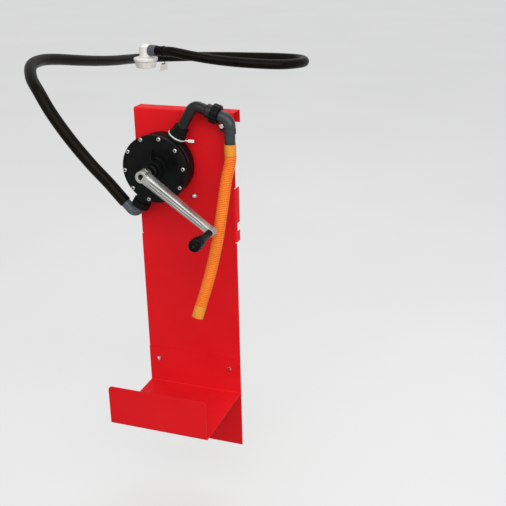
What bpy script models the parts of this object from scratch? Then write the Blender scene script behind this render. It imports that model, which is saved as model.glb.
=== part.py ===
"""Rotary hand transfer pump on a hanging plate with a jug shelf, as separate pieces at real size.

The origin is where the plate's hook bears on the rail that carries it: on the plate's back face, at the
underside of the hook, in the middle of the plate's width. +X is to the right, -Y is towards the person
who turns the crank and +Z is up. Lengths are in metres and angles in radians.

Pump pieces are modelled in the pump's own axes: local Z runs along the shaft, from the plate's back face
towards the person, local X is to the right and local Y is up.
"""
import math

import bmesh
import bpy
from mathutils import Matrix, Vector

MM = 0.001

# Fits
SEAT_GAP = 0.3 * MM  # between faces that touch
RUNNING_GAP = 0.15 * MM  # round what turns
EDGE = 1.0 * MM  # chamfer on small edges

# Folded sheet: hanging plate
SHEET = 2.0 * MM
FOLD_RADIUS = 3.0 * MM  # to the middle of the sheet
FOLD_RELIEF = 2.0 * MM
PLATE_WIDTH = 254.0 * MM
PLATE_HEIGHT = 889.0 * MM
HOOK_GAP = 38.0 * MM
HOOK_LIP = 30.0 * MM
TAB_TOP = -180.0 * MM
TAB_HEIGHT = 135.0 * MM
TAB_DEPTH = 22.0 * MM
NOTCH_MIDDLE = -278.5 * MM
NOTCH_HEIGHT = 22.0 * MM
NOTCH_DEPTH = 16.0 * MM

# Folded sheet: jug shelf
SHELF_BOTTOM = -732.0 * MM
SHELF_DEPTH = 228.6 * MM
SHELF_LIP = 102.4 * MM
SHELF_BACK = 100.0 * MM
SHELF_CORNER = 10.0 * MM
SHELF_BOLT_MARGIN = 28.4 * MM  # in from the plate's side
SHELF_BOLT_DROP = 30.0 * MM  # below the top edge of the shelf's back

# Hexagon bolts and nuts
BOLT_RADIUS = 3.0 * MM
BOLT_HEAD_RADIUS = 5.8 * MM
BOLT_HEAD = 4.0 * MM
NUT_HEIGHT = 5.0 * MM
BOLT_TAIL = 1.5 * MM  # past the nut
SPARE_BOLT = (23.0 * MM, -203.4 * MM)
SPARE_BOLT_PROUD = 11.0 * MM

# Pump housing
PUMP_X = -46.0 * MM
PUMP_Z = -125.0 * MM
STANDOFF = 14.0 * MM
FOOT_RADIUS = 9.0 * MM
FOOT_CIRCLE = 55.0 * MM
FOOT_BOLT_DEPTH = 11.0 * MM
DRUM_RADIUS = 77.5 * MM
DRUM_DEPTH = 31.0 * MM
DRUM_CHAMFER = 2.5 * MM
WAIST_DEPTH = 16.0 * MM
FLANGE_RADIUS = 81.0 * MM
FLANGE_THICKNESS = 6.0 * MM
REAR_WALL = 6.0 * MM
CHAMBER_RADIUS = 58.0 * MM
CHAMBER_OFFSET = 4.0 * MM
GASKET = 0.7 * MM

# Cover and its screws
COVER_SCREWS = 10
COVER_SCREW_START = math.radians(4.9)
SCREW_MARGIN = 6.0 * MM  # from the flange's edge to a screw's middle
SCREW_RADIUS = 2.0 * MM
SCREW_HEAD_RADIUS = 4.4 * MM
SCREW_HEAD = 3.2 * MM
SCREW_CROWN = 1.4 * MM
WAIST_MARGIN = 9.0 * MM  # from a screw's middle in to the waist
PLUG_DEPTH = 8.0 * MM
DISH_WIDTH = 39.0 * MM
DISH_DEPTH = 7.0 * MM
COVER_LAND = 15.0 * MM
GLAND_BOSS_RADIUS = 25.0 * MM
GLAND_BOSS_PROUD = 15.7 * MM
RIB_ANGLE = math.radians(96.0)
RIB_THICKNESS = 3.0 * MM
RIB_REACH = 27.0 * MM
RIB_SET_BACK = 4.0 * MM

# Shaft and its bearings
SHAFT_RADIUS = 7.0 * MM
BUSH_WALL = 3.0 * MM
BUSH_LENGTH = 18.0 * MM
REAR_BUSH_LENGTH = 11.5 * MM
BEARING_WALL = 6.0 * MM
BEARING_END = 4.0 * MM
SEAL_WALL = 6.0 * MM
SEAL_LENGTH = 5.5 * MM
GLAND_NUT_RADIUS = 18.0 * MM
GLAND_NUT_HEAD = 10.0 * MM
GLAND_NUT_CHAMFER = 2.5 * MM

# Rotor, vanes and springs
ROTOR_RADIUS = 50.0 * MM
END_CLEARANCE = 0.5 * MM
VANE_THICKNESS = 7.4 * MM
VANE_LENGTH = 29.0 * MM
VANE_TIP_GAP = 0.5 * MM
SPRING_WIRE = 0.9 * MM
SPRING_MEAN = 4.6 * MM
SPRING_TURNS = 4
SPRING_LENGTH = 9.6 * MM

# Crank and grip
CRANK_ANGLE = math.radians(-35.5)
CRANK_THROW = 200.0 * MM
CRANK_FRONT = 145.0 * MM  # from the plate's back face
HUB_RADIUS = 14.0 * MM
HUB_LENGTH = 30.0 * MM
SHAFT_RECESS = 11.0 * MM
ARM_ROOT_WIDTH = 25.0 * MM
ARM_TIP_WIDTH = 17.0 * MM
ARM_ROOT_DEPTH = 27.0 * MM
ARM_TIP_DEPTH = 20.0 * MM
ARM_SET_BACK = 1.0 * MM
ARM_EDGE = 2.0 * MM
TIP_RADIUS = 10.0 * MM
GROOVE_WIDTH = 3.4 * MM
GROOVE_DEPTH = 1.8 * MM
GROOVE_SPREAD = 3.6 * MM
GROOVE_MARGIN = 20.0 * MM
SET_SCREW_RADIUS = 2.5 * MM
SET_SCREW_HEAD_RADIUS = 5.4 * MM
SET_SCREW_HEAD = 4.4 * MM
PIN_RADIUS = 4.0 * MM
PIN_HEAD_RADIUS = 5.0 * MM
PIN_HEAD = 3.6 * MM
GRIP_LENGTH = 93.0 * MM
GRIP_ROOT_RADIUS = 10.0 * MM
GRIP_END_RADIUS = 14.6 * MM
GRIP_RECESS = 7.0 * MM
GRIP_EDGE = 3.0 * MM

# Ports and pipework, in the plane of the ports
PORT_ANGLE = math.radians(58.9)
PORT_SETBACK = 16.0 * MM  # in front of the drum's rear face
PORT_BORE = 9.5 * MM
PIPE_RADIUS = 12.5 * MM
PIPE_BORE = 10.0 * MM
BOSS_LAND = 2.5 * MM  # outside the seal
BOSS_PROUD = 2.0 * MM
BOSS_ROOT = 17.0 * MM  # inside the drum's surface
SEAL_RING = 1.2 * MM
SEAL_RING_WIDTH = 7.5 * MM
COLLAR_SPIGOT = 11.0 * MM
COLLAR_LENGTH = 28.0 * MM
COLLAR_FLARE = 6.0 * MM
COLLAR_WALL = 2.5 * MM
COLLAR_SOCKET = 12.0 * MM
COLLAR_GROOVE = 2.0 * MM
RISER_REACH = 92.0 * MM  # from the boss to the first corner
RISER_BEND = 18.0 * MM
FALL_ANGLE = math.radians(-18.2)
UNION_REACH = 55.7 * MM  # from the first corner to the union's middle
UNION_LENGTH = 18.0 * MM
UNION_WALL = 9.5 * MM
UNION_TAIL_STEP = 1.0 * MM
UNION_TAIL = 4.0 * MM
BELL_WALL = 4.0 * MM
BELL_LENGTH = 14.0 * MM
SPOUT_REACH = 90.7 * MM  # from the first corner to the second
SPOUT_BEND = 24.0 * MM
SPOUT_SWELL = 1.5 * MM  # the bend is thicker than the pipe
SPOUT_SWELL_PAST = 1.5 * MM  # past the end of the bend
SPOUT_DROP = 56.8 * MM  # from the second corner to the hose's top edge
SPOUT_INSERT = 25.0 * MM
SPOUT_SPIGOT_STEP = 1.5 * MM  # narrower inside the hose
NUT_RIBS = 12
NUT_RIB = 1.2 * MM

# Spout clip
CLIP_DROP = 18.5 * MM
CLIP_BAND_DROP = 8.5 * MM  # from the bolt's middle to the band's
CLIP_CLEAR = 10.4 * MM  # from the spout's side to the bolt's middle
CLIP_BAND = 1.5 * MM
CLIP_WIDTH = 12.0 * MM
CLIP_EAR = 3.0 * MM
SPACER_RADIUS = 6.0 * MM

# Inlet
NECK_STEP = 5.5 * MM
NECK_FLARE = 7.5 * MM  # wider where it leaves the drum
NECK_LENGTH = 31.0 * MM
NECK_SPIGOT_STEP = 0.5 * MM  # wider than the tail that it seals
NECK_SPIGOT = 8.5 * MM
INLET_NUT_WALL = 8.5 * MM
INLET_NUT_LENGTH = 17.0 * MM
INLET_INNER_BEND = 0.7 * MM
INLET_CLEAR = 9.5 * MM  # between the nut and the start of the bend
INLET_EXIT = math.radians(133.0)
INLET_TAIL = 38.0 * MM

# Hoses
DELIVERY_WALL = 2.1 * MM
DELIVERY_RIB = 0.6 * MM
DELIVERY_CUFF = 26.0 * MM
DELIVERY_PITCH = 4.2 * MM
RIB_VALLEY_SHARE = 1 / 3  # of the pitch
RIB_CREST_SHARE = 5 / 6
DELIVERY_STRAIGHT = 19.0 * MM
DELIVERY_ROUTE = (
    (120.0 * MM, -40.0 * MM, -147.0 * MM),
    (113.0 * MM, -56.5 * MM, -220.0 * MM),
    (105.5 * MM, -75.5 * MM, -293.5 * MM),
    (93.0 * MM, -96.5 * MM, -368.0 * MM),
    (69.0 * MM, -124.0 * MM, -466.0 * MM),
)
SUCTION_RADIUS = 14.8 * MM
SUCTION_SPACING = 40.0 * MM
SUCTION_STRAIGHT = 31.0 * MM  # at each end
SUCTION_ROUTE = (
    (-233.5 * MM, -39.0 * MM, -137.0 * MM),
    (-284.0 * MM, -43.0 * MM, -76.0 * MM),
    (-331.0 * MM, -41.0 * MM, -14.5 * MM),
    (-365.0 * MM, -33.0 * MM, 34.0 * MM),
    (-403.0 * MM, 0.0 * MM, 58.0 * MM),
    (-444.0 * MM, 66.0 * MM, 76.0 * MM),
    (-464.0 * MM, 143.0 * MM, 77.0 * MM),
    (-468.0 * MM, 223.0 * MM, 67.0 * MM),
    (-463.0 * MM, 328.0 * MM, 48.0 * MM),
    (-462.0 * MM, 428.0 * MM, 31.0 * MM),
    (-464.0 * MM, 538.0 * MM, 15.0 * MM),
    (-469.0 * MM, 638.0 * MM, 3.0 * MM),
    (-470.0 * MM, 708.0 * MM, -5.0 * MM),
    (-455.0 * MM, 788.0 * MM, -14.0 * MM),
    (-415.0 * MM, 853.0 * MM, -21.0 * MM),
    (-350.0 * MM, 898.0 * MM, -24.0 * MM),
    (-270.0 * MM, 923.0 * MM, -25.0 * MM),
    (-190.0 * MM, 933.0 * MM, -25.0 * MM),
    (-80.0 * MM, 930.0 * MM, -23.0 * MM),
    (13.0 * MM, 891.0 * MM, -19.0 * MM),
    (52.0 * MM, 798.0 * MM, -13.0 * MM),
    (13.0 * MM, 705.0 * MM, -6.0 * MM),
    (-80.0 * MM, 665.0 * MM, 1.0 * MM),
    (-165.0 * MM, 646.0 * MM, 9.0 * MM),
    (-245.0 * MM, 622.0 * MM, 23.0 * MM),
)

# Tank coupler
COUPLER_X = -405.0 * MM
COUPLER_Y = 627.0 * MM
COUPLER_BASE = -17.5 * MM
COUPLER_BASE_RADIUS = 30.0 * MM
COUPLER_CUP_RADIUS = 33.5 * MM
COUPLER_RIM_RADIUS = 37.5 * MM
COUPLER_RIM_BASE = 18.0 * MM
COUPLER_RIM = 12.0 * MM
COUPLER_SHOULDER = 4.0 * MM
COUPLER_EDGE = 2.0 * MM
COUPLER_STUB_RADIUS = 18.5 * MM
COUPLER_CHAMFER = 8.0 * MM
COUPLER_HEIGHT = 71.5 * MM
COUPLER_HOLLOW_RADIUS = 24.0 * MM
COUPLER_HOLLOW = 16.0 * MM
COUPLER_OUTLET = 53.0 * MM  # above the base
COUPLER_BRANCH_RADIUS = 12.0 * MM
COUPLER_BRANCH = 22.0 * MM
COUPLER_GASKET = 3.0 * MM
COUPLER_GASKET_WIDTH = 8.0 * MM
COUPLER_TURN = math.radians(-12.0)  # of the branch, from the plate's width
COUPLER_TAIL_END = 45.0 * MM
COUPLER_TAIL_RADIUS = 16.6 * MM

# Flag ties
TIE_THICKNESS = 1.2 * MM
TIE_WIDTH = 3.0 * MM
TIE_TAIL_WIDTH = 2.4 * MM
FLAG_THICKNESS = 1.0 * MM
OUTLET_TIE_AT = 4.0 * MM  # from the collar's start to the strap
OUTLET_FLAG_PAST = 16.8 * MM  # the flag's tip: past the boss's end,
OUTLET_FLAG_ASIDE = 40.6 * MM  # aside of the port's axis
OUTLET_FLAG_BACK = 2.0 * MM  # and behind it
OUTLET_FLAG_SIZE = (15.0 * MM, 7.0 * MM)
OUTLET_FLAG_FACING = (0.4, 0.25, 1.0)
HOSE_TIE_AT = 26.0 * MM  # along the hose from the coupler's tail
HOSE_TIE_SLACK = 0.5 * MM  # the hose bends a little under its strap
HOSE_FLAG = (63.0 * MM, -5.0 * MM, -6.5 * MM)  # the flag's tip, from the middle of the coupler's base
HOSE_FLAG_SIZE = (23.0 * MM, 18.0 * MM)
HOSE_FLAG_FACING = (0.0, -1.0, 0.3)

# Facets
ROUND = 36  # large turned pieces
SMALL_ROUND = 18
PIPE_SIDES = 14
HOLE_SIDES = 10
SCREW_SIDES = 8
BEND_STEPS = 5
TOLERANCE = 1e-7
SMOOTH_ANGLE = math.radians(35.0)  # sharper edges stay crisp
DISH_STEPS = 4
GRIP_STEPS = 7
HOSE_SIDES = 8
SUCTION_SIDES = 10
SPRING_SIDES = 6
BORE_STEPS = 12

# Heights along the shaft, from the plate's back face
DRUM_REAR = SHEET + STANDOFF
DRUM_FRONT = DRUM_REAR + DRUM_DEPTH
FLANGE_REAR = DRUM_FRONT + WAIST_DEPTH
FLANGE_FRONT = FLANGE_REAR + FLANGE_THICKNESS
COVER_REAR = FLANGE_FRONT + GASKET + 2 * SEAT_GAP
COVER_FRONT = COVER_REAR + FLANGE_THICKNESS
CHAMBER_FLOOR = DRUM_REAR + REAR_WALL
PLUG_FACE = COVER_REAR - PLUG_DEPTH
BEARING_REAR = CHAMBER_FLOOR - REAR_BUSH_LENGTH
BOSS_FRONT = COVER_FRONT + GLAND_BOSS_PROUD
SEAL_REAR = PLUG_FACE + BUSH_LENGTH
SHAFT_END = CRANK_FRONT - SHAFT_RECESS
PORT_PLANE = DRUM_REAR + PORT_SETBACK

# Radii that follow from their neighbours
SCREW_CIRCLE = FLANGE_RADIUS - SCREW_MARGIN
WAIST_RADIUS = SCREW_CIRCLE - WAIST_MARGIN
PLUG_RADIUS = CHAMBER_RADIUS - CHAMBER_OFFSET - SEAT_GAP
VANE_TIP = CHAMBER_RADIUS - CHAMBER_OFFSET - VANE_TIP_GAP
BUSH_RADIUS = SHAFT_RADIUS + BUSH_WALL
SEAL_RADIUS = SHAFT_RADIUS + SEAL_WALL
SEAL_RING_RADIUS = PIPE_RADIUS + SEAL_RING_WIDTH
BOSS_RADIUS = SEAL_RING_RADIUS + BOSS_LAND
COLLAR_TOP_RADIUS = PIPE_RADIUS + COLLAR_WALL
COLLAR_BASE_RADIUS = COLLAR_TOP_RADIUS + COLLAR_FLARE
UNION_TAIL_RADIUS = PIPE_RADIUS + UNION_TAIL_STEP
UNION_RADIUS = UNION_TAIL_RADIUS + UNION_WALL
BELL_RADIUS = PIPE_RADIUS + BELL_WALL
NECK_SPIGOT_RADIUS = UNION_TAIL_RADIUS + NECK_SPIGOT_STEP
NECK_RADIUS = NECK_SPIGOT_RADIUS + NECK_STEP
INLET_NUT_RADIUS = NECK_SPIGOT_RADIUS + INLET_NUT_WALL
INLET_BEND = PIPE_RADIUS + INLET_INNER_BEND
SPOUT_SPIGOT_RADIUS = PIPE_RADIUS - SPOUT_SPIGOT_STEP
DELIVERY_VALLEY = SPOUT_SPIGOT_RADIUS + DELIVERY_WALL
DELIVERY_RADIUS = DELIVERY_VALLEY + DELIVERY_RIB
CLIP_REACH = PIPE_RADIUS + CLIP_CLEAR

# Distances from the shaft's axis along the ports
BOSS_END = DRUM_RADIUS + BOSS_PROUD
COLLAR_START = BOSS_END + SEAL_RING + 2 * SEAT_GAP
COLLAR_END = COLLAR_START + COLLAR_LENGTH
NECK_END = DRUM_RADIUS + NECK_LENGTH
INLET_NUT_END = NECK_END + SEAT_GAP + INLET_NUT_LENGTH
INLET_TURN = PORT_ANGLE + math.pi - INLET_EXIT
INLET_CORNER = INLET_NUT_END + INLET_CLEAR + INLET_BEND * math.tan(INLET_TURN / 2)

# Finishes: colour, roughness, metallic
RED_COAT = ((0.61, 0.012, 0.016), 0.16, 0.0)
BLACK_PLASTIC = ((0.008, 0.008, 0.009), 0.38, 0.0)
GREY_PLASTIC = ((0.10, 0.12, 0.14), 0.45, 0.0)
CHARCOAL_PLASTIC = ((0.02, 0.02, 0.021), 0.5, 0.0)
WHITE_PLASTIC = ((0.80, 0.79, 0.74), 0.4, 0.0)
ORANGE_HOSE = ((0.87, 0.28, 0.02), 0.35, 0.0)
BLACK_HOSE = ((0.012, 0.011, 0.010), 0.42, 0.0)
RUBBER = ((0.015, 0.015, 0.015), 0.7, 0.0)
ZINC = ((0.62, 0.62, 0.60), 0.3, 1.0)
STEEL = ((0.55, 0.55, 0.56), 0.25, 1.0)
ALUMINIUM = ((0.66, 0.65, 0.62), 0.32, 1.0)
ACETAL = ((0.72, 0.70, 0.64), 0.4, 0.0)


# Scene and placing


def clear_scene():
    for obj in list(bpy.data.objects):
        bpy.data.objects.remove(obj)


def axis_empty(name, location, rotation=(0, 0, 0), parent=None):
    empty = bpy.data.objects.new(name, None)
    bpy.context.scene.collection.objects.link(empty)
    empty.location = location
    empty.rotation_euler = rotation
    empty.parent = parent
    return empty


def finish_material(name, finish):
    colour, roughness, metallic = finish
    material = bpy.data.materials.new(name)
    material.use_nodes = True
    shader = material.node_tree.nodes["Principled BSDF"]
    shader.inputs["Base Color"].default_value = (*colour, 1.0)
    shader.inputs["Roughness"].default_value = roughness
    shader.inputs["Metallic"].default_value = metallic
    return material


def piece(name, data, finish, parent=None, location=(0, 0, 0), rotation=(0, 0, 0)):
    """A named object of the mesh or curve, with its own material, placed under its parent."""
    obj = bpy.data.objects.new(name, data)
    bpy.context.scene.collection.objects.link(obj)
    if not data.materials:
        data.materials.append(None)
    obj.material_slots[0].link = "OBJECT"
    obj.material_slots[0].material = finish_material(name, finish)
    obj.parent = parent
    obj.location = location
    obj.rotation_euler = rotation
    return obj


# Shapes


def to_mesh(name, bm, smooth=True):
    mesh = bpy.data.meshes.new(name)
    bm.to_mesh(mesh)
    bm.free()
    if smooth:
        mesh.shade_smooth()
        mesh.set_sharp_from_angle(angle=SMOOTH_ANGLE)
    return mesh


def baked(obj):
    """The object's mesh as its modifiers leave it; the object itself is removed."""
    graph = bpy.context.evaluated_depsgraph_get()
    mesh = bpy.data.meshes.new_from_object(obj.evaluated_get(graph))
    bpy.data.objects.remove(obj)
    return mesh


def scratch(data):
    obj = bpy.data.objects.new("scratch", data)
    bpy.context.scene.collection.objects.link(obj)
    return obj


def combined(mesh, tool, operation):
    """The mesh after a union with the tool's mesh, or with the tool's mesh taken away."""
    body = scratch(mesh)
    cutter = scratch(tool)
    modifier = body.modifiers.new("combine", "BOOLEAN")
    modifier.operation = operation
    modifier.solver = "EXACT"
    modifier.object = cutter
    result = baked(body)
    bpy.data.objects.remove(cutter)
    result.shade_smooth()
    result.set_sharp_from_angle(angle=SMOOTH_ANGLE)
    return result


def cut(mesh, *tools):
    for tool in tools:
        mesh = combined(mesh, tool, "DIFFERENCE")
    return mesh


def join(mesh, *tools):
    for tool in tools:
        mesh = combined(mesh, tool, "UNION")
    return mesh


def pointing(origin, direction):
    """The matrix that puts local Z along the direction, at the origin."""
    turn = Vector(direction).to_track_quat("Z", "Y").to_matrix().to_4x4()
    return Matrix.Translation(origin) @ turn


def turned(profile, segments=SMALL_ROUND, origin=(0, 0, 0), direction=(0, 0, 1)):
    """A solid turned about an axis from (radius, height) points: a ring where no point is on the axis."""
    bm = bmesh.new()
    verts = [bm.verts.new((radius, 0, height)) for radius, height in profile]
    edges = [bm.edges.new(pair) for pair in zip(verts, verts[1:])]
    if min(radius for radius, height in profile) > 0:
        edges.append(bm.edges.new((verts[-1], verts[0])))
    bmesh.ops.spin(
        bm, geom=verts + edges, cent=(0, 0, 0), axis=(0, 0, 1), angle=math.tau, steps=segments, use_merge=True
    )
    bmesh.ops.remove_doubles(bm, verts=bm.verts, dist=TOLERANCE)
    bmesh.ops.recalc_face_normals(bm, faces=bm.faces)
    bm.transform(pointing(origin, direction))
    return to_mesh("turned", bm)


def rod(radius, start, end, sides=SMALL_ROUND):
    """A round bar between two points."""
    start = Vector(start)
    span = Vector(end) - start
    bm = bmesh.new()
    bmesh.ops.create_cone(
        bm, cap_ends=True, segments=sides, radius1=radius, radius2=radius, depth=span.length
    )
    bm.transform(pointing(start + span / 2, span))
    return to_mesh("rod", bm)


def tube(outer, inner, low, high, sides=SMALL_ROUND, origin=(0, 0, 0), direction=(0, 0, 1)):
    """A plain ring between two heights on an axis."""
    profile = ((inner, low), (outer, low), (outer, high), (inner, high))
    return turned(profile, sides, origin, direction)


def clear_of(radius, sides, gap=SEAT_GAP):
    """The corner radius of a faceted hole whose flats stay clear of a round bar."""
    return (radius + gap) / math.cos(math.pi / sides)


def block(low, high, matrix=None):
    """A box between two corners."""
    bm = bmesh.new()
    bmesh.ops.create_cube(bm, size=1.0)
    low = Vector(low)
    high = Vector(high)
    for vert in bm.verts:
        vert.co = low + Vector(a * (b + 0.5) for a, b in zip(high - low, vert.co))
    if matrix:
        bm.transform(matrix)
    return to_mesh("block", bm, smooth=False)


def merged(meshes):
    """Several separate bodies in one mesh, for a cutter."""
    bm = bmesh.new()
    for mesh in meshes:
        bm.from_mesh(mesh)
    return to_mesh("merged", bm)


def prism(outline, low, high):
    """An outline in X and Y carried from one height to another."""
    bm = bmesh.new()
    face = bm.faces.new([bm.verts.new((x, y, low)) for x, y in outline])
    result = bmesh.ops.extrude_face_region(bm, geom=[face])
    lifted = [item for item in result["geom"] if isinstance(item, bmesh.types.BMVert)]
    bmesh.ops.translate(bm, verts=lifted, vec=(0, 0, high - low))
    bmesh.ops.recalc_face_normals(bm, faces=bm.faces)
    return to_mesh("prism", bm)


def on_circle(radius, angle, height=0.0):
    return Vector((radius * math.cos(angle), radius * math.sin(angle), height))


def circle_angles(count, start=0.0):
    return [start + math.tau * number / count for number in range(count)]


def rounded(points, radius, steps=BEND_STEPS):
    """The line through the points, with each inner corner turned into an arc."""
    points = [Vector(point) for point in points]
    path = [points[0]]
    for before, corner, after in zip(points, points[1:], points[2:]):
        into = (corner - before).normalized()
        out = (after - corner).normalized()
        turn = into.angle(out)
        centre = corner + (out - into).normalized() * radius / math.cos(turn / 2)
        spoke = corner - into * radius * math.tan(turn / 2) - centre
        axis = into.cross(out)
        for step in range(steps + 1):
            path.append(centre + Matrix.Rotation(turn * step / steps, 3, axis) @ spoke)
    path.append(points[-1])
    return path


def headings(points):
    """The direction of travel at each point of a path, past points that coincide."""
    result = []
    for index, point in enumerate(points):
        ahead = [other - point for other in points[index + 1:] if (other - point).length > TOLERANCE]
        behind = [point - other for other in points[:index] if (other - point).length > TOLERANCE]
        ways = [way.normalized() for way in ahead[:1] + behind[-1:]]
        result.append(sum(ways, Vector()).normalized())
    return result


def pipe(outside, inside, sides=PIPE_SIDES):
    """A pipe bent in a plane square to Z, from (point, radius) stations outside and along the bore."""
    bm = bmesh.new()
    rings = []
    for stations in (outside, inside[::-1]):
        for (point, radius), heading in zip(stations, headings([point for point, radius in stations])):
            across = heading.cross(Vector((0, 0, 1)))
            if stations is not outside:
                across = -across
            ring = [on_circle(radius, angle) for angle in circle_angles(sides)]
            rings.append([bm.verts.new(point + across * p.x + Vector((0, 0, p.y))) for p in ring])
    for ring, following in zip(rings, rings[1:] + rings[:1]):
        for side in range(sides):
            after = (side + 1) % sides
            bm.faces.new((ring[side], ring[after], following[after], following[side]))
    bmesh.ops.remove_doubles(bm, verts=bm.verts, dist=TOLERANCE)
    bmesh.ops.recalc_face_normals(bm, faces=bm.faces)
    return to_mesh("pipe", bm)


def folded_sheet(patches):
    """A sheet of even thickness from patches of points on its middle surface, given row by row."""
    bm = bmesh.new()
    for rows in patches:
        grid = [[bm.verts.new(point) for point in row] for row in rows]
        for row, following in zip(grid, grid[1:]):
            for column in range(len(row) - 1):
                bm.faces.new((row[column], row[column + 1], following[column + 1], following[column]))
    bmesh.ops.remove_doubles(bm, verts=bm.verts, dist=TOLERANCE)
    bmesh.ops.recalc_face_normals(bm, faces=bm.faces)
    sheet = scratch(to_mesh("sheet", bm))
    solidify = sheet.modifiers.new("thickness", "SOLIDIFY")
    solidify.thickness = SHEET
    solidify.offset = 0.0
    solidify.use_even_offset = True
    return baked(sheet)


def hole(x, y, radius=BOLT_RADIUS):
    """A cutter for a bolt hole through a sheet that stands square to the shaft, in pump axes."""
    reach = 4 * STANDOFF
    return rod(clear_of(radius, HOLE_SIDES), (x, y, -reach), (x, y, reach), HOLE_SIDES)


def upright(mesh):
    """A cutter made in pump axes, turned into the plate's axes."""
    mesh.transform(Matrix.Translation((PUMP_X, 0, PUMP_Z)) @ Matrix.Rotation(math.pi / 2, 4, "X"))
    return mesh


def pump_place(x, y, height):
    """A point given in pump axes, in the plate's axes."""
    return Vector((PUMP_X + x, -height, PUMP_Z + y))


def port_point(distance, angle=PORT_ANGLE):
    return on_circle(distance, angle, PORT_PLANE)


# Places of the pipework's corners and of the fasteners, in pump axes

RISER_CORNER = port_point(BOSS_END + RISER_REACH)
FALL = on_circle(1.0, FALL_ANGLE)
UNION_MIDDLE = RISER_CORNER + FALL * UNION_REACH
SPOUT_CORNER = RISER_CORNER + FALL * SPOUT_REACH
SPOUT_END = SPOUT_CORNER - Vector((0, SPOUT_DROP + SPOUT_INSERT, 0))
HOSE_TOP = SPOUT_CORNER - Vector((0, SPOUT_DROP, 0))
CLIP_PLACE = SPOUT_CORNER - Vector((CLIP_REACH, CLIP_DROP, 0))
CLIP_BACK = PORT_PLANE - PIPE_RADIUS - SEAT_GAP - CLIP_BAND
SHELF_BOLT_Y = SHELF_BOTTOM + SHELF_BACK - SHELF_BOLT_DROP - PUMP_Z
SHELF_BOLT_REACH = PLATE_WIDTH / 2 - SHELF_BOLT_MARGIN
SHELF_BOLT_PLACES = [(side * SHELF_BOLT_REACH - PUMP_X, SHELF_BOLT_Y) for side in (-1, 1)]
SPARE_BOLT_PLACE = (SPARE_BOLT[0] - PUMP_X, SPARE_BOLT[1] - PUMP_Z)
FOOT_PLACES = [on_circle(FOOT_CIRCLE, angle) for angle in circle_angles(3, PORT_ANGLE + math.pi / 3)]
SCREW_PLACES = [on_circle(SCREW_CIRCLE, angle) for angle in circle_angles(COVER_SCREWS, COVER_SCREW_START)]


# Sheet metal


def mounting_plate():
    """One sheet: a hook folded back over the top, and a notched tab folded back at each side."""
    half = PLATE_WIDTH / 2
    middle = -SHEET / 2
    inset = FOLD_RADIUS + SHEET / 2
    columns = (-half, inset - half, half - inset, half)
    tab_bottom = TAB_TOP - TAB_HEIGHT
    notch = (NOTCH_MIDDLE - NOTCH_HEIGHT / 2, NOTCH_MIDDLE + NOTCH_HEIGHT / 2)
    waist = (tab_bottom - FOLD_RELIEF, tab_bottom, *notch, TAB_TOP, TAB_TOP + FOLD_RELIEF)
    lip = HOOK_GAP + SHEET / 2
    hook = rounded(
        ((0, middle, waist[-1]), (0, middle, SHEET / 2), (0, lip, SHEET / 2), (0, lip, SHEET - HOOK_LIP)),
        FOLD_RADIUS,
    )
    patches = [
        [[(x, middle, z) for x in columns] for z in (SHEET - PLATE_HEIGHT, waist[0])],
        [[(x, middle, z) for x in columns[1:3]] for z in waist],
        [[(x, point.y, point.z) for x in columns] for point in hook],
    ]
    for side in (-1, 1):
        edge = side * (half - SHEET / 2)
        start = (side * (half - inset), middle, 0)
        root = rounded((start, (edge, middle, 0), (edge, TAB_DEPTH - NOTCH_DEPTH, 0)), FOLD_RADIUS)
        full = root + [Vector((edge, TAB_DEPTH, 0))]
        for low, high, line in (
            (tab_bottom, notch[0], full),
            (notch[0], notch[1], root),
            (notch[1], TAB_TOP, full),
        ):
            patches.append([[(point.x, point.y, z) for point in line] for z in (low, high)])
    places = [(place.x, place.y) for place in FOOT_PLACES]
    places += SHELF_BOLT_PLACES + [SPARE_BOLT_PLACE, (CLIP_PLACE.x, CLIP_PLACE.y)]
    holes = merged([hole(x, y) for x, y in places])
    return cut(folded_sheet(patches), upright(holes))


def shelf_bracket():
    """A sheet folded into a tray: a back that bolts to the plate, a base and a front lip."""
    half = PLATE_WIDTH / 2
    back = -SHEET - SEAT_GAP - SHEET / 2
    base = SHELF_BOTTOM + SHEET / 2
    front = SHEET / 2 - SHEET - SHELF_DEPTH
    shoulder = SHELF_BOTTOM + SHELF_LIP - SHELF_CORNER
    path = rounded(
        ((0, back, SHELF_BOTTOM + SHELF_BACK), (0, back, base), (0, front, base), (0, front, shoulder)),
        FOLD_RADIUS,
    )
    patches = [[[(x, point.y, point.z) for x in (-half, half)] for point in path]]
    for step in range(BEND_STEPS):
        corner = [math.pi / 2 * number / BEND_STEPS for number in (step, step + 1)]
        rows = []
        for angle in corner:
            reach = half - SHELF_CORNER * (1 - math.cos(angle))
            height = shoulder + SHELF_CORNER * math.sin(angle)
            rows.append([(-reach, front, height), (reach, front, height)])
        patches.append(rows)
    holes = merged([hole(x, y) for x, y in SHELF_BOLT_PLACES])
    return cut(folded_sheet(patches), upright(holes))


# Fasteners


def hexagon(radius):
    return [(radius * math.cos(angle), radius * math.sin(angle)) for angle in circle_angles(6)]


def hex_bolt(length):
    """A bolt with its head behind local zero and its shank in front."""
    head = prism(hexagon(BOLT_HEAD_RADIUS), -BOLT_HEAD, 0)
    return join(head, rod(BOLT_RADIUS, (0, 0, -BOLT_HEAD / 2), (0, 0, length), SCREW_SIDES))


def hex_nut():
    nut = prism(hexagon(BOLT_HEAD_RADIUS), 0, NUT_HEIGHT)
    bore = rod(clear_of(BOLT_RADIUS, HOLE_SIDES), (0, 0, -NUT_HEIGHT), (0, 0, 2 * NUT_HEIGHT), HOLE_SIDES)
    return cut(nut, bore)


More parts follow.
